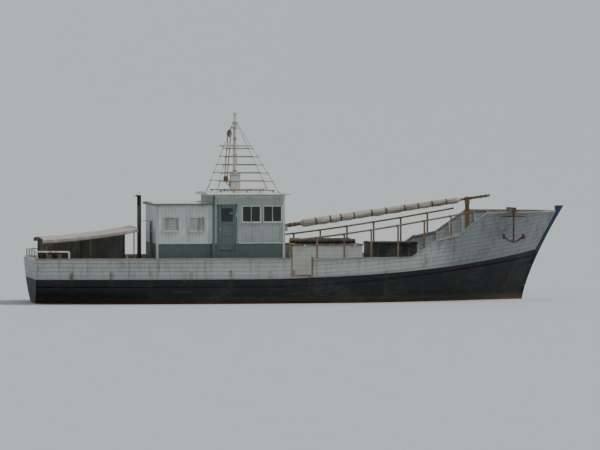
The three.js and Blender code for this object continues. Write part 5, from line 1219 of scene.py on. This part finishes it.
wooldings = bmesh.new()
for share in (0.025, 0.048, 0.885, 0.905, 0.955, 0.975):
    for turn in range(4):
        at = share + turn * 0.0022
        add_ring(wooldings, yard_at(at), YARD_RUN, yard_radius(at) + 0.006, 0.0085, steps=20, sides=5)
finished("yard_wooldings", wooldings, rope_finish)

# Sail. The lateen's cotton is bunched along the yard and tied with gaskets, so that it swells between them.
# It is modelled as one soft bundle with folds that wind slowly round it.
sail_finish, sail_place = new_finish("sail_cotton", Specular_IOR_Level=0.2, Sheen_Weight=0.25)
sail_cloud = sail_place.mottle(1.6, (0.5, 1.0, 1.0), 5.0, 0.6)
sail_weave = sail_place.mottle(160.0, detail=2.0)
sail_crease = sail_place.mottle(9.0, (0.12, 1.0, 1.0), 5.0, 0.6)
sail_mould = sail_place.mottle(5.0, detail=5.0, rough=0.7).rise(0.56, 0.72)
sail_colour = sail_cloud.rise(0.3, 0.72).tint((0.33, 0.30, 0.25, 1.0), (0.50, 0.465, 0.40, 1.0))
sail_colour = (sail_mould * 0.5).tint(sail_colour, (0.22, 0.20, 0.165, 1.0))
sail_colour = (sail_crease.rise(0.55, 0.8) * 0.35).tint(sail_colour, (0.30, 0.26, 0.20, 1.0))
lay_on(sail_finish, sail_colour, 0.9 - sail_cloud * 0.05, sail_crease * 0.9 + sail_weave * 0.05, 0.010)
SAIL_FROM, SAIL_TO = 0.075, 0.855
GASKETS = 11
SAIL_STEPS = 220
SAIL_SIDES = 40
tie_draw = random.Random(12)
TIES = [tie + (0 < tie < GASKETS) * tie_draw.uniform(-0.28, 0.28) for tie in range(GASKETS + 1)]
TIES = [SAIL_FROM + (SAIL_TO - SAIL_FROM) * tie / GASKETS for tie in TIES]
FULLNESS = [tie_draw.uniform(0.55, 1.06) for _ in range(GASKETS)]
SLACK = [tie_draw.uniform(0.003, 0.020) for _ in range(GASKETS)]


def bay_at(share):
    """Which bay between gaskets a place on the sail is in, and how far through it, from 0 to 1."""
    index = min(GASKETS - 1, max(0, sum(tie <= share for tie in TIES) - 1))
    return index, (share - TIES[index]) / (TIES[index + 1] - TIES[index])


def bundle_radius(share):
    """Radius of the whole furled bundle, which tapers towards the yard's tip."""
    return 0.182 - 0.052 * (share - SAIL_FROM) / (SAIL_TO - SAIL_FROM)


def sail_radius(share, turn):
    """Radius of the sail at a place and an angle: nipped under the gaskets, with folds winding round it."""
    index, through = bay_at(share)
    nip = abs(math.sin(math.pi * through)) ** 0.6
    run = share * 14.0
    end = min(1.0, (share - SAIL_FROM) / 0.03 + 0.45, (SAIL_TO - share) / 0.03 + 0.45)
    folds = 0.050 * math.sin(4 * turn + 2.6 * run + 0.9 * math.sin(run * 1.7)) * (0.5 + 0.5 * nip)
    folds += 0.030 * math.sin(9 * turn - 4.4 * run + 1.3 * math.sin(run * 2.9))
    folds += 0.014 * math.sin(17 * turn + 11.0 * run + 2.0 * math.sin(run * 0.8))
    fullness = 0.81 + 0.16 * nip * FULLNESS[index] + folds
    return max(yard_radius(share) + 0.012, bundle_radius(share) * end * fullness)


def sail_middle(share):
    """Middle of the bundle, which sags a little between gaskets and wanders from side to side."""
    index, through = bay_at(share)
    sag = SLACK[index] * abs(math.sin(math.pi * through))
    return yard_at(share) + Vector((0.0, 0.006 * math.sin(share * 31.0), -sag))


sail_mesh = bmesh.new()
sail_shares = [SAIL_FROM + (SAIL_TO - SAIL_FROM) * step / SAIL_STEPS for step in range(SAIL_STEPS + 1)]
add_line(sail_mesh, [sail_middle(share) for share in sail_shares], 0.1, sides=SAIL_SIDES,
         radius_at=lambda step, index: sail_radius(sail_shares[step], math.tau * index / SAIL_SIDES))
sail = finished("furled_sail_bundle", sail_mesh, sail_finish, smooth=80.0)
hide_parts("furled_sail")

gaskets = bmesh.new()
for tie, share in enumerate(TIES[1:-1]):
    lean = tie_draw.uniform(-0.16, 0.16)
    radius = 0.885 * bundle_radius(share)
    axis = YARD_RUN + Vector((0.0, 8.0 * lean, 0.0))
    for turn in range(3):
        add_ring(gaskets, sail_middle(share + (turn - 1) * 0.0023), axis, radius, 0.0095, steps=24)
    side = -1 if tie % 3 else 1
    knot = sail_middle(share) + Vector((0.0, side * (radius + 0.006), 0.02))
    add_ring(gaskets, knot, (0.4, 1.0, 0.2), 0.020, 0.009, steps=12)
    tail = [knot + Vector((0.0, side * 0.006, -0.015)),
            knot + Vector((0.02 + lean * 0.1, side * 0.012, -0.09)),
            knot + Vector((0.01 + lean * 0.3, side * 0.004, -0.17 - abs(lean) * 0.3))]
    add_line(gaskets, tail, 0.0075)
finished("sail_gaskets", gaskets, rope_finish)

# Awning. One stretched sheet of faded canvas over the poop's frame, sewn from cloths with doubled hems,
# scalloped a little between its lashings and hanging in a short valance along each side.
awning_finish, awning_place = new_finish("awning_canvas", Specular_IOR_Level=0.2, Sheen_Weight=0.2)
awning_x = awning_place.axes()[0]
awning_cloud = awning_place.mottle(1.0, detail=5.0, rough=0.6)
awning_weave = awning_place.mottle(170.0, detail=2.0)
awning_puddle = awning_place.mottle(2.4, (1.0, 0.6, 1.0), 5.0, 0.65).rise(0.5, 0.7)
awning_seam = (awning_x + 10.7).lines(0.78, 0.030)
awning_colour = awning_cloud.rise(0.3, 0.7).tint((0.34, 0.285, 0.26, 1.0), (0.46, 0.395, 0.365, 1.0))
awning_colour = (awning_puddle * 0.5).tint(awning_colour, (0.28, 0.235, 0.205, 1.0))
awning_colour = (awning_seam * 0.35).tint(awning_colour, (0.26, 0.21, 0.19, 1.0))
awning_folds = awning_place.mottle(4.0, (1.0, 0.3, 1.0), 4.0)
lay_on(awning_finish, awning_colour, 0.88 + awning_cloud * 0.05,
       awning_weave * 0.05 + awning_seam * 0.5 + awning_folds * 0.8, 0.008)
AWNING_AFT, AWNING_FORE, AWNING_HALF = -10.70, -6.83, 1.60
POLES = [-6.97, -8.75, -10.52]
POLE_Y = 1.45


def awning_height(x, y):
    """Height of the stretched cloth: a slope up forward, a sag in each bay and rounded edges."""
    t = (x - AWNING_AFT) / (AWNING_FORE - AWNING_AFT)
    across = y / AWNING_HALF
    ridge = 2.66 + 0.44 * t - 0.06 * 4 * t * (1 - t)
    nearest = min(abs(x - pole) for pole in POLES)
    pull = 0.020 * min(1.0, nearest / 0.9) ** 2 * (1 - across ** 4)
    ripple = 0.004 * math.sin(7.5 * x + 2.0 * y) + 0.003 * math.sin(17.0 * x - 5.0 * y)
    return ridge - 0.09 * across ** 4 - pull + ripple * (1 - across ** 2)


cloth = bmesh.new()
awning_verts = bmesh.ops.create_grid(cloth, x_segments=110, y_segments=70, size=0.5)["verts"]
for vert in awning_verts:
    u, v = vert.co.x + 0.5, vert.co.y * 2.0
    x = AWNING_AFT + (AWNING_FORE - AWNING_AFT) * u
    bite = 0.028 * abs(math.sin(math.pi * u * 9)) ** 0.8
    end_bite = 0.022 * abs(math.sin(math.pi * (v + 1) * 3.5)) ** 0.8
    y = v * (AWNING_HALF - bite * abs(v) ** 8)
    x += end_bite * (abs(u * 2 - 1) ** 10) * (-1 if u > 0.5 else 1)
    vert.co = Vector((x, y, awning_height(x, y) + 0.002))
awning_rim = [edge for edge in cloth.edges
              if edge.is_boundary and all(abs(vert.co.y) > 1.5 for vert in edge.verts)]
for drop in (0.03, 0.045, 0.05):
    fresh = bmesh.ops.extrude_edge_only(cloth, edges=awning_rim)["geom"]
    lower = [item for item in fresh if isinstance(item, bmesh.types.BMEdge) and len(item.link_faces) == 1]
    awning_rim = [edge for edge in lower if all(vert in fresh for vert in edge.verts)
                  and abs(edge.verts[0].co.x - edge.verts[1].co.x) > 1e-4]
    for vert in (item for item in fresh if isinstance(item, bmesh.types.BMVert)):
        wave = math.sin(vert.co.x * 19.0) * 0.007
        out = math.copysign(0.002 + wave * 0.4, vert.co.y) if drop > 0.04 else 0.0
        vert.co += Vector((0.0, out, -drop))
awning = finished("awning_cloth", cloth, awning_finish, smooth=75.0)
thickened(awning, 0.004)
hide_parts("awning_canopy")
lashings = bmesh.new()
for side in (1, -1):
    for tie in range(10):
        x = AWNING_AFT + 0.05 + (AWNING_FORE - AWNING_AFT - 0.10) * tie / 9
        y = side * (AWNING_HALF - 0.012)
        z = awning_height(x, y)
        rail_z = awning_height(x, side * POLE_Y) - 0.035
        eyelet = (x, y - side * 0.020, z - 0.004)
        add_ring(lashings, eyelet, (1.0, 0.0, 0.0), 0.022, 0.005, steps=12, sides=5)
        if POLES[-1] < x < POLES[0]:
            add_line(lashings, [(x, y - side * 0.040, z - 0.012), (x + 0.01, side * 1.490, rail_z),
                                (x + 0.02, side * 1.475, rail_z - 0.020)], 0.005, sides=5)
lashing = finished("awning_lashings", lashings, rope_finish)
dress(long_wood, "awning_frame")

# Weather cloth. A grey canvas screen is laced to the port rail of the awning and to its end poles, and
# hangs to knee height with a rope sewn in its foot. It is made of upright cloths and sags in folds between
# the poles.
screen_finish, screen_place = new_finish("screen_canvas", Specular_IOR_Level=0.2, Sheen_Weight=0.15)
screen_x, _, screen_z = screen_place.axes()
screen_cloud = screen_place.mottle(1.3, detail=5.0, rough=0.62)
screen_weave = screen_place.mottle(170.0, detail=2.0)
screen_runs = screen_place.mottle(6.0, (1.0, 1.0, 0.10), 4.0, 0.65).rise(0.50, 0.72)
screen_seam = (screen_x + 10.56).lines(0.726, 0.026)
screen_hem = 1 - screen_z.rise(1.69, 1.72)
# The grey is the canvas's own, made lighter as painted light for the sun shining through the cloth from
# behind.
screen_colour = screen_cloud.rise(0.3, 0.7).tint((0.25, 0.26, 0.245, 1.0), (0.37, 0.37, 0.335, 1.0))
screen_colour = (screen_runs * 0.5).tint(screen_colour, (0.16, 0.155, 0.14, 1.0))
screen_colour = (screen_seam.at_least(screen_hem) * 0.4).tint(screen_colour, (0.13, 0.13, 0.12, 1.0))
lay_on(screen_finish, screen_colour, 0.90 - screen_cloud * 0.05,
       screen_weave * 0.05 + screen_seam * 0.5, 0.006)
SCREEN_AFT, SCREEN_FORE, SCREEN_FOOT = -10.555, -6.935, 1.655
SCREEN_Y = 1.4815
LACINGS = 14


def screen_point(u, v):
    """A point of the hanging screen: u along it from aft, v up it from its foot."""
    x = SCREEN_AFT + (SCREEN_FORE - SCREEN_AFT) * u
    slack = min(1.0, min(abs(x - pole) for pole in POLES) / 0.45)
    head = awning_height(x, POLE_Y) - 0.072 - 0.014 * abs(math.sin(math.pi * u * LACINGS)) ** 1.2
    foot = SCREEN_FOOT + 0.030 * (1 - slack) + 0.012 * math.sin(8.3 * x)
    z = foot + (head - foot) * v
    belly = 0.018 * slack * math.sin(math.pi * min(1.0, v * 1.05)) ** 0.8
    folds = 0.012 * math.sin(11.0 * x + 1.6 * math.sin(2.3 * z)) + 0.007 * math.sin(23.0 * x - 2.0 * z + 1.0)
    diagonal = 0.006 * math.sin(9.0 * (x - 1.6 * z))
    y = SCREEN_Y + belly + (0.012 + folds) * slack * (1.15 - v) + diagonal * slack * v * (1 - v) * 4
    return Vector((x, max(y, SCREEN_Y - 0.001), z))


screen = bmesh.new()
for vert in bmesh.ops.create_grid(screen, x_segments=150, y_segments=44, size=0.5)["verts"]:
    vert.co = screen_point(vert.co.x + 0.5, vert.co.y + 0.5)
weather_cloth = finished("weather_cloth_screen", screen, screen_finish, smooth=75.0)
thickened(weather_cloth, 0.004)
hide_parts("weather_cloth")
lacing = bmesh.new()
for tie in range(LACINGS + 1):
    x, y, z = screen_point(min(max(tie / LACINGS, 0.006), 0.994), 0.985)
    add_ring(lacing, (x, y, z - 0.004), (0.0, 1.0, 0.0), 0.011, 0.0035, steps=12, sides=5)
    rail_z = awning_height(x, POLE_Y) - 0.089
    add_line(lacing, [(x, y + 0.004, z - 0.004), (x + 0.004, 1.478, rail_z + 0.004),
                      (x + 0.008, 1.456, rail_z + 0.026), (x + 0.012, 1.428, rail_z + 0.010),
                      (x + 0.010, 1.430, rail_z - 0.014), (x + 0.006, 1.462, rail_z - 0.028),
                      (x, y - 0.003, z - 0.004)], 0.0045, sides=5)
for pole, u in ((POLES[2], 0.006), (POLES[0], 0.994)):
    for v in (0.06, 0.30, 0.54, 0.78):
        point = screen_point(u, v)
        add_ring(lacing, (pole, 1.455, point.z), (0.0, 0.12, 1.0), 0.031, 0.0045, steps=16, sides=5)
foot_rope = [screen_point(step / 60, 0.0) + Vector((0.0, 0.0, -0.003)) for step in range(61)]
add_line(lacing, foot_rope, 0.006)
screen_lacing = finished("weather_cloth_lacing", lacing, rope_finish)

# Awning pole fittings. Each pole stands in a foot plate with four screws
# and ends in a clamp under the rails.
couplings = bmesh.new()
for x in POLES:
    for y in (POLE_Y, -POLE_Y):
        z = awning_height(x, y) - 0.05
        add_rod(couplings, (x, y, z - 0.075), (x, y, z - 0.035), 0.031, sides=16, arris=0.003)
        add_rod(couplings, (x, y, 1.351), (x, y, 1.363), 0.062, sides=20, arris=0.003)
        for turn in (0.8, 2.4, 3.9, 5.5):
            screw_x, screw_y = x + 0.045 * math.cos(turn), y + 0.045 * math.sin(turn)
            add_rod(couplings, (screw_x, screw_y, 1.361), (screw_x, screw_y, 1.369), 0.007, sides=6)
finished("awning_pole_fittings", couplings, steel_finish)

# Rails. Rough poles are spiked on posts along the waist and lashed at their joints,
# and a painted rail runs round the stern.
dress(long_wood, "side_rail_port", "side_rail_starboard")
dress(mast_finish, "stern_rail")
SIDE_RAIL_SKIN = skin_each_side("side_rail")


def side_rail_point(side, x):
    """Centre of the side rail at x, found from the CAD rail itself."""
    z = 2.57 + 1.13 * max(0.0, (x + 0.8) / 7.8) ** 1.25
    breadth = breadth_outside(SIDE_RAIL_SKIN[side], side, x, z)
    return Vector((x, side * (breadth - 0.036), z)) if breadth else None


rail_ties = bmesh.new()
for side in (1, -1):
    for index in range(8):
        here = side_rail_point(side, -0.8 + 1.12 * index + (0.05 if index == 0 else -0.05))
        if here:
            for turn in (-0.016, 0.0, 0.016):
                middle = here + Vector((turn, 0.0, turn * 0.15))
                add_ring(rail_ties, middle, (1.0, 0.0, 0.15), 0.043, 0.007, sides=5)
finished("side_rail_lashings", rail_ties, rope_finish)

# Windlass. A hardwood barrel with iron bands beside its whelps and a toothed iron rim for the pawl;
# flat iron keepers hold its journals down in the posts.
WINDLASS_AXIS = Vector((8.15, 0.0, 2.83))
dress(cross_wood, "windlass_barrel")
windlass_iron = bmesh.new()
for y in (-0.415, -0.075, 0.055, 0.395):
    start = WINDLASS_AXIS + Vector((0.0, y, 0.0))
    add_rod(windlass_iron, start, start + Vector((0.0, 0.018, 0.0)), 0.127, sides=32, arris=0.002)
for index in range(16):
    angle = math.tau * index / 16
    out = Vector((math.cos(angle), 0.0, math.sin(angle)))
    start, end = WINDLASS_AXIS + out * 0.160, WINDLASS_AXIS + out * 0.176
    add_bar(windlass_iron, start, end, 0.080, 0.020, 0.003, facing=(out.z, 0.0, -out.x))
finished("windlass_iron", windlass_iron, steel_finish, "windlass_body")
keepers = bmesh.new()
for side in (1, -1):
    add_side_block(keepers, side, (8.035, 8.265), (0.434, 0.606), (2.950, 2.985), 0.004)
    for x in (8.05, 8.25):
        add_rod(keepers, (x, side * 0.52, 2.984), (x, side * 0.52, 3.000), 0.014, sides=6)
finished("windlass_keepers", keepers, steel_finish)

# Anchor gear. The fisherman's anchor hangs from the cathead by its ring;
# the ring and the band on the cathead are old iron, rusted as dark as the anchor.
iron_black, iron_place = new_finish("rusted_iron")
iron_scale = iron_place.mottle(9.0, detail=5.0, rough=0.65)
iron_pits = iron_place.mottle(40.0, detail=3.0)
lay_on(iron_black, iron_scale.rise(0.35, 0.65).tint((0.045, 0.038, 0.034, 1.0), (0.12, 0.055, 0.028, 1.0)),
       0.62 + iron_scale * 0.25, iron_scale + iron_pits * 0.4, 0.003)
dress(iron_black, "anchor")
anchor_low, anchor_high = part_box("anchor")
ANCHOR_X, ANCHOR_Y = 8.60, (anchor_low.y + anchor_high.y) / 2
anchor_gear = bmesh.new()
add_ring(anchor_gear, (ANCHOR_X, ANCHOR_Y, anchor_high.z - 0.070), (0.25, 1.0, 0.0), 0.075, 0.013,
         steps=22, sides=8)
finished("anchor_ring", anchor_gear, iron_black)
cathead_iron = bmesh.new()
add_block(cathead_iron, (8.512, ANCHOR_Y - 0.105, 3.657), (8.688, ANCHOR_Y - 0.065, 3.834), 0.003)
finished("cathead_iron", cathead_iron, iron_black)

# Exhaust. A steel pipe, painted once, burnt brown and sooted black towards its open mouth,
# with clamps, a bracket to the deckhouse and a hinged rain flap.
stack_finish, stack_place = new_finish("exhaust_pipe", Specular_IOR_Level=0.4)
stack_z = stack_place.axes()[2]
stack_cloud = stack_place.mottle(6.0, (1.0, 1.0, 0.3), 5.0, 0.65)
stack_soot = (stack_z + stack_cloud * 0.5).rise(3.9, 4.4)
stack_colour = stack_cloud.rise(0.4, 0.62).tint((0.11, 0.115, 0.115, 1.0), (0.17, 0.075, 0.035, 1.0))
stack_colour = stack_soot.tint(stack_colour, (0.012, 0.011, 0.010, 1.0))
lay_on(stack_finish, stack_colour, 0.6 + stack_cloud * 0.3, stack_cloud, 0.003)
dress(stack_finish, "exhaust_stack")
STACK_X, STACK_Y = -6.43, 0.90
stack_gear = bmesh.new()
for z in (2.10, 3.25, 3.95):
    add_rod(stack_gear, (STACK_X, STACK_Y, z), (STACK_X, STACK_Y, z + 0.05), 0.090, sides=28, arris=0.003)
add_bar(stack_gear, (-6.345, STACK_Y, 3.275), (-6.062, STACK_Y, 3.275), 0.05, 0.020, 0.004)
add_rod(stack_gear, (STACK_X, STACK_Y, 1.351), (STACK_X, STACK_Y, 1.375), 0.15, sides=28, arris=0.004)
flap_hinge = Vector((-6.53, STACK_Y, 4.345))
flap_run = Vector((0.82, 0.0, 0.57)).normalized()
flap_up = Vector((-flap_run.z, 0.0, flap_run.x))
flap_middle = flap_hinge + flap_run * 0.105 + flap_up * 0.010
add_rod(stack_gear, flap_middle - flap_up * 0.003, flap_middle + flap_up * 0.003, 0.095, sides=28)
pin = Vector((0.0, 0.035, 0.0))
add_rod(stack_gear, flap_hinge - pin, flap_hinge + pin, 0.010, sides=10)
add_bar(stack_gear, flap_hinge + flap_run * 0.02, flap_hinge - flap_run * 0.11, 0.024, 0.008, 0.002,
        facing=flap_up)
weight, half = flap_hinge + Vector((-0.09, 0.0, -0.062)), Vector((0.0, 0.02, 0.0))
add_rod(stack_gear, weight - half, weight + half, 0.026, sides=14, arris=0.004)
for y in (STACK_Y - 0.030, STACK_Y + 0.030):
    add_bar(stack_gear, (-6.53, y, 4.26), (-6.53, y, 4.36), 0.006, 0.024, facing=(1.0, 0.0, 0.0))
finished("exhaust_clamps", stack_gear, stack_finish)

# Stem irons, rudder straps and propeller. Wrought iron bands bind the stem, and two more hold the planks
# of the rudder blade. The propeller is old bronze gone green in places, with a nut on its shaft.
irons = bmesh.new()
for z in (0.55, 1.35, 2.15, 2.95):
    face = 9.4 + 1.6 * (z / 3.6) ** 1.35
    add_block(irons, (face - 0.30, -0.096, z), (face + 0.004, 0.096, z + 0.07), 0.003)
finished("stem_irons", irons, iron_black)
dress(hull_finish("rudder_paint", planked=False), "rudder")
rudder_straps = bmesh.new()
for z in (-1.30, -0.75):
    add_block(rudder_straps, (-10.62, -0.041, z), (-9.95, 0.041, z + 0.085), 0.004)
    for x in (-10.5, -10.3, -10.15):
        add_rod(rudder_straps, (x, -0.047, z + 0.042), (x, 0.047, z + 0.042), 0.016, sides=8)
finished("rudder_straps", rudder_straps, iron_black, "rudder_body")
bronze_finish, bronze_place = new_finish("bronze", Metallic=0.85)
bronze_cloud = bronze_place.mottle(7.0, detail=5.0, rough=0.6)
bronze_green = bronze_place.mottle(16.0, detail=4.0).rise(0.5, 0.68)
bronze_colour = bronze_cloud.tint((0.42, 0.27, 0.12, 1.0), (0.60, 0.43, 0.20, 1.0))
lay_on(bronze_finish, bronze_green.tint(bronze_colour, (0.16, 0.27, 0.20, 1.0)),
       0.34 + bronze_green * 0.4, bronze_cloud + bronze_green * 0.4, 0.002)
dress(bronze_finish, "propeller")
nut = bmesh.new()
add_rod(nut, (-9.541, 0.0, -0.95), (-9.64, 0.0, -0.95), 0.066, 0.030, sides=24, arris=0.006)
finished("propeller_nut", nut, bronze_finish, "propeller_body")

# Helm and engine. The wheel has turned grips and a bronze cap on its hub, and a compass and a lever stand
# on the pedestal; the engine is a painted iron block with oil on it.
dress(cross_wood, "steering_wheel")
grips = bmesh.new()
WHEEL = Vector((-1.65, 0.0, 2.89))
for index in range(8):
    angle = math.pi * index / 4 + 0.02
    out = Vector((0.0, math.cos(angle), math.sin(angle)))
    add_line(grips, [WHEEL + out * reach for reach in (0.332, 0.345, 0.375, 0.405, 0.421)], 0.02, sides=12,
             radius_at=lambda step, _: (0.013, 0.017, 0.021, 0.018, 0.010)[step])
finished("wheel_grips", grips, cross_wood, "wheel_body")
hub_cap = bmesh.new()
add_rod(hub_cap, WHEEL + Vector((-0.034, 0.0, 0.0)), WHEEL + Vector((-0.052, 0.0, 0.0)), 0.050, 0.034,
        sides=24, arris=0.003)
finished("wheel_hub_cap", hub_cap, bronze_finish, "wheel_body")
helm_gear = bmesh.new()
add_rod(helm_gear, (-1.45, 0.0, 3.009), (-1.45, 0.0, 3.075), 0.085, sides=28, arris=0.008)
add_rod(helm_gear, (-1.45, 0.12, 3.009), (-1.45, 0.12, 3.10), 0.010, sides=10)
add_rod(helm_gear, (-1.45, 0.12, 3.10), (-1.45, 0.12, 3.135), 0.020, sides=14, arris=0.005)
finished("compass_and_lever", helm_gear, bronze_finish)
engine_finish, engine_place = new_finish("engine_paint", Specular_IOR_Level=0.45)
engine_cloud = engine_place.mottle(5.0, detail=5.0, rough=0.65)
engine_oil = engine_place.mottle(3.0, (1.0, 1.0, 0.3), 4.0).rise(0.48, 0.66)
engine_colour = engine_cloud.tint((0.06, 0.10, 0.085, 1.0), (0.10, 0.15, 0.13, 1.0))
lay_on(engine_finish, engine_oil.tint(engine_colour, (0.016, 0.013, 0.011, 1.0)),
       0.5 - engine_oil * 0.2, engine_cloud, 0.004)
dress(engine_finish, "engine")
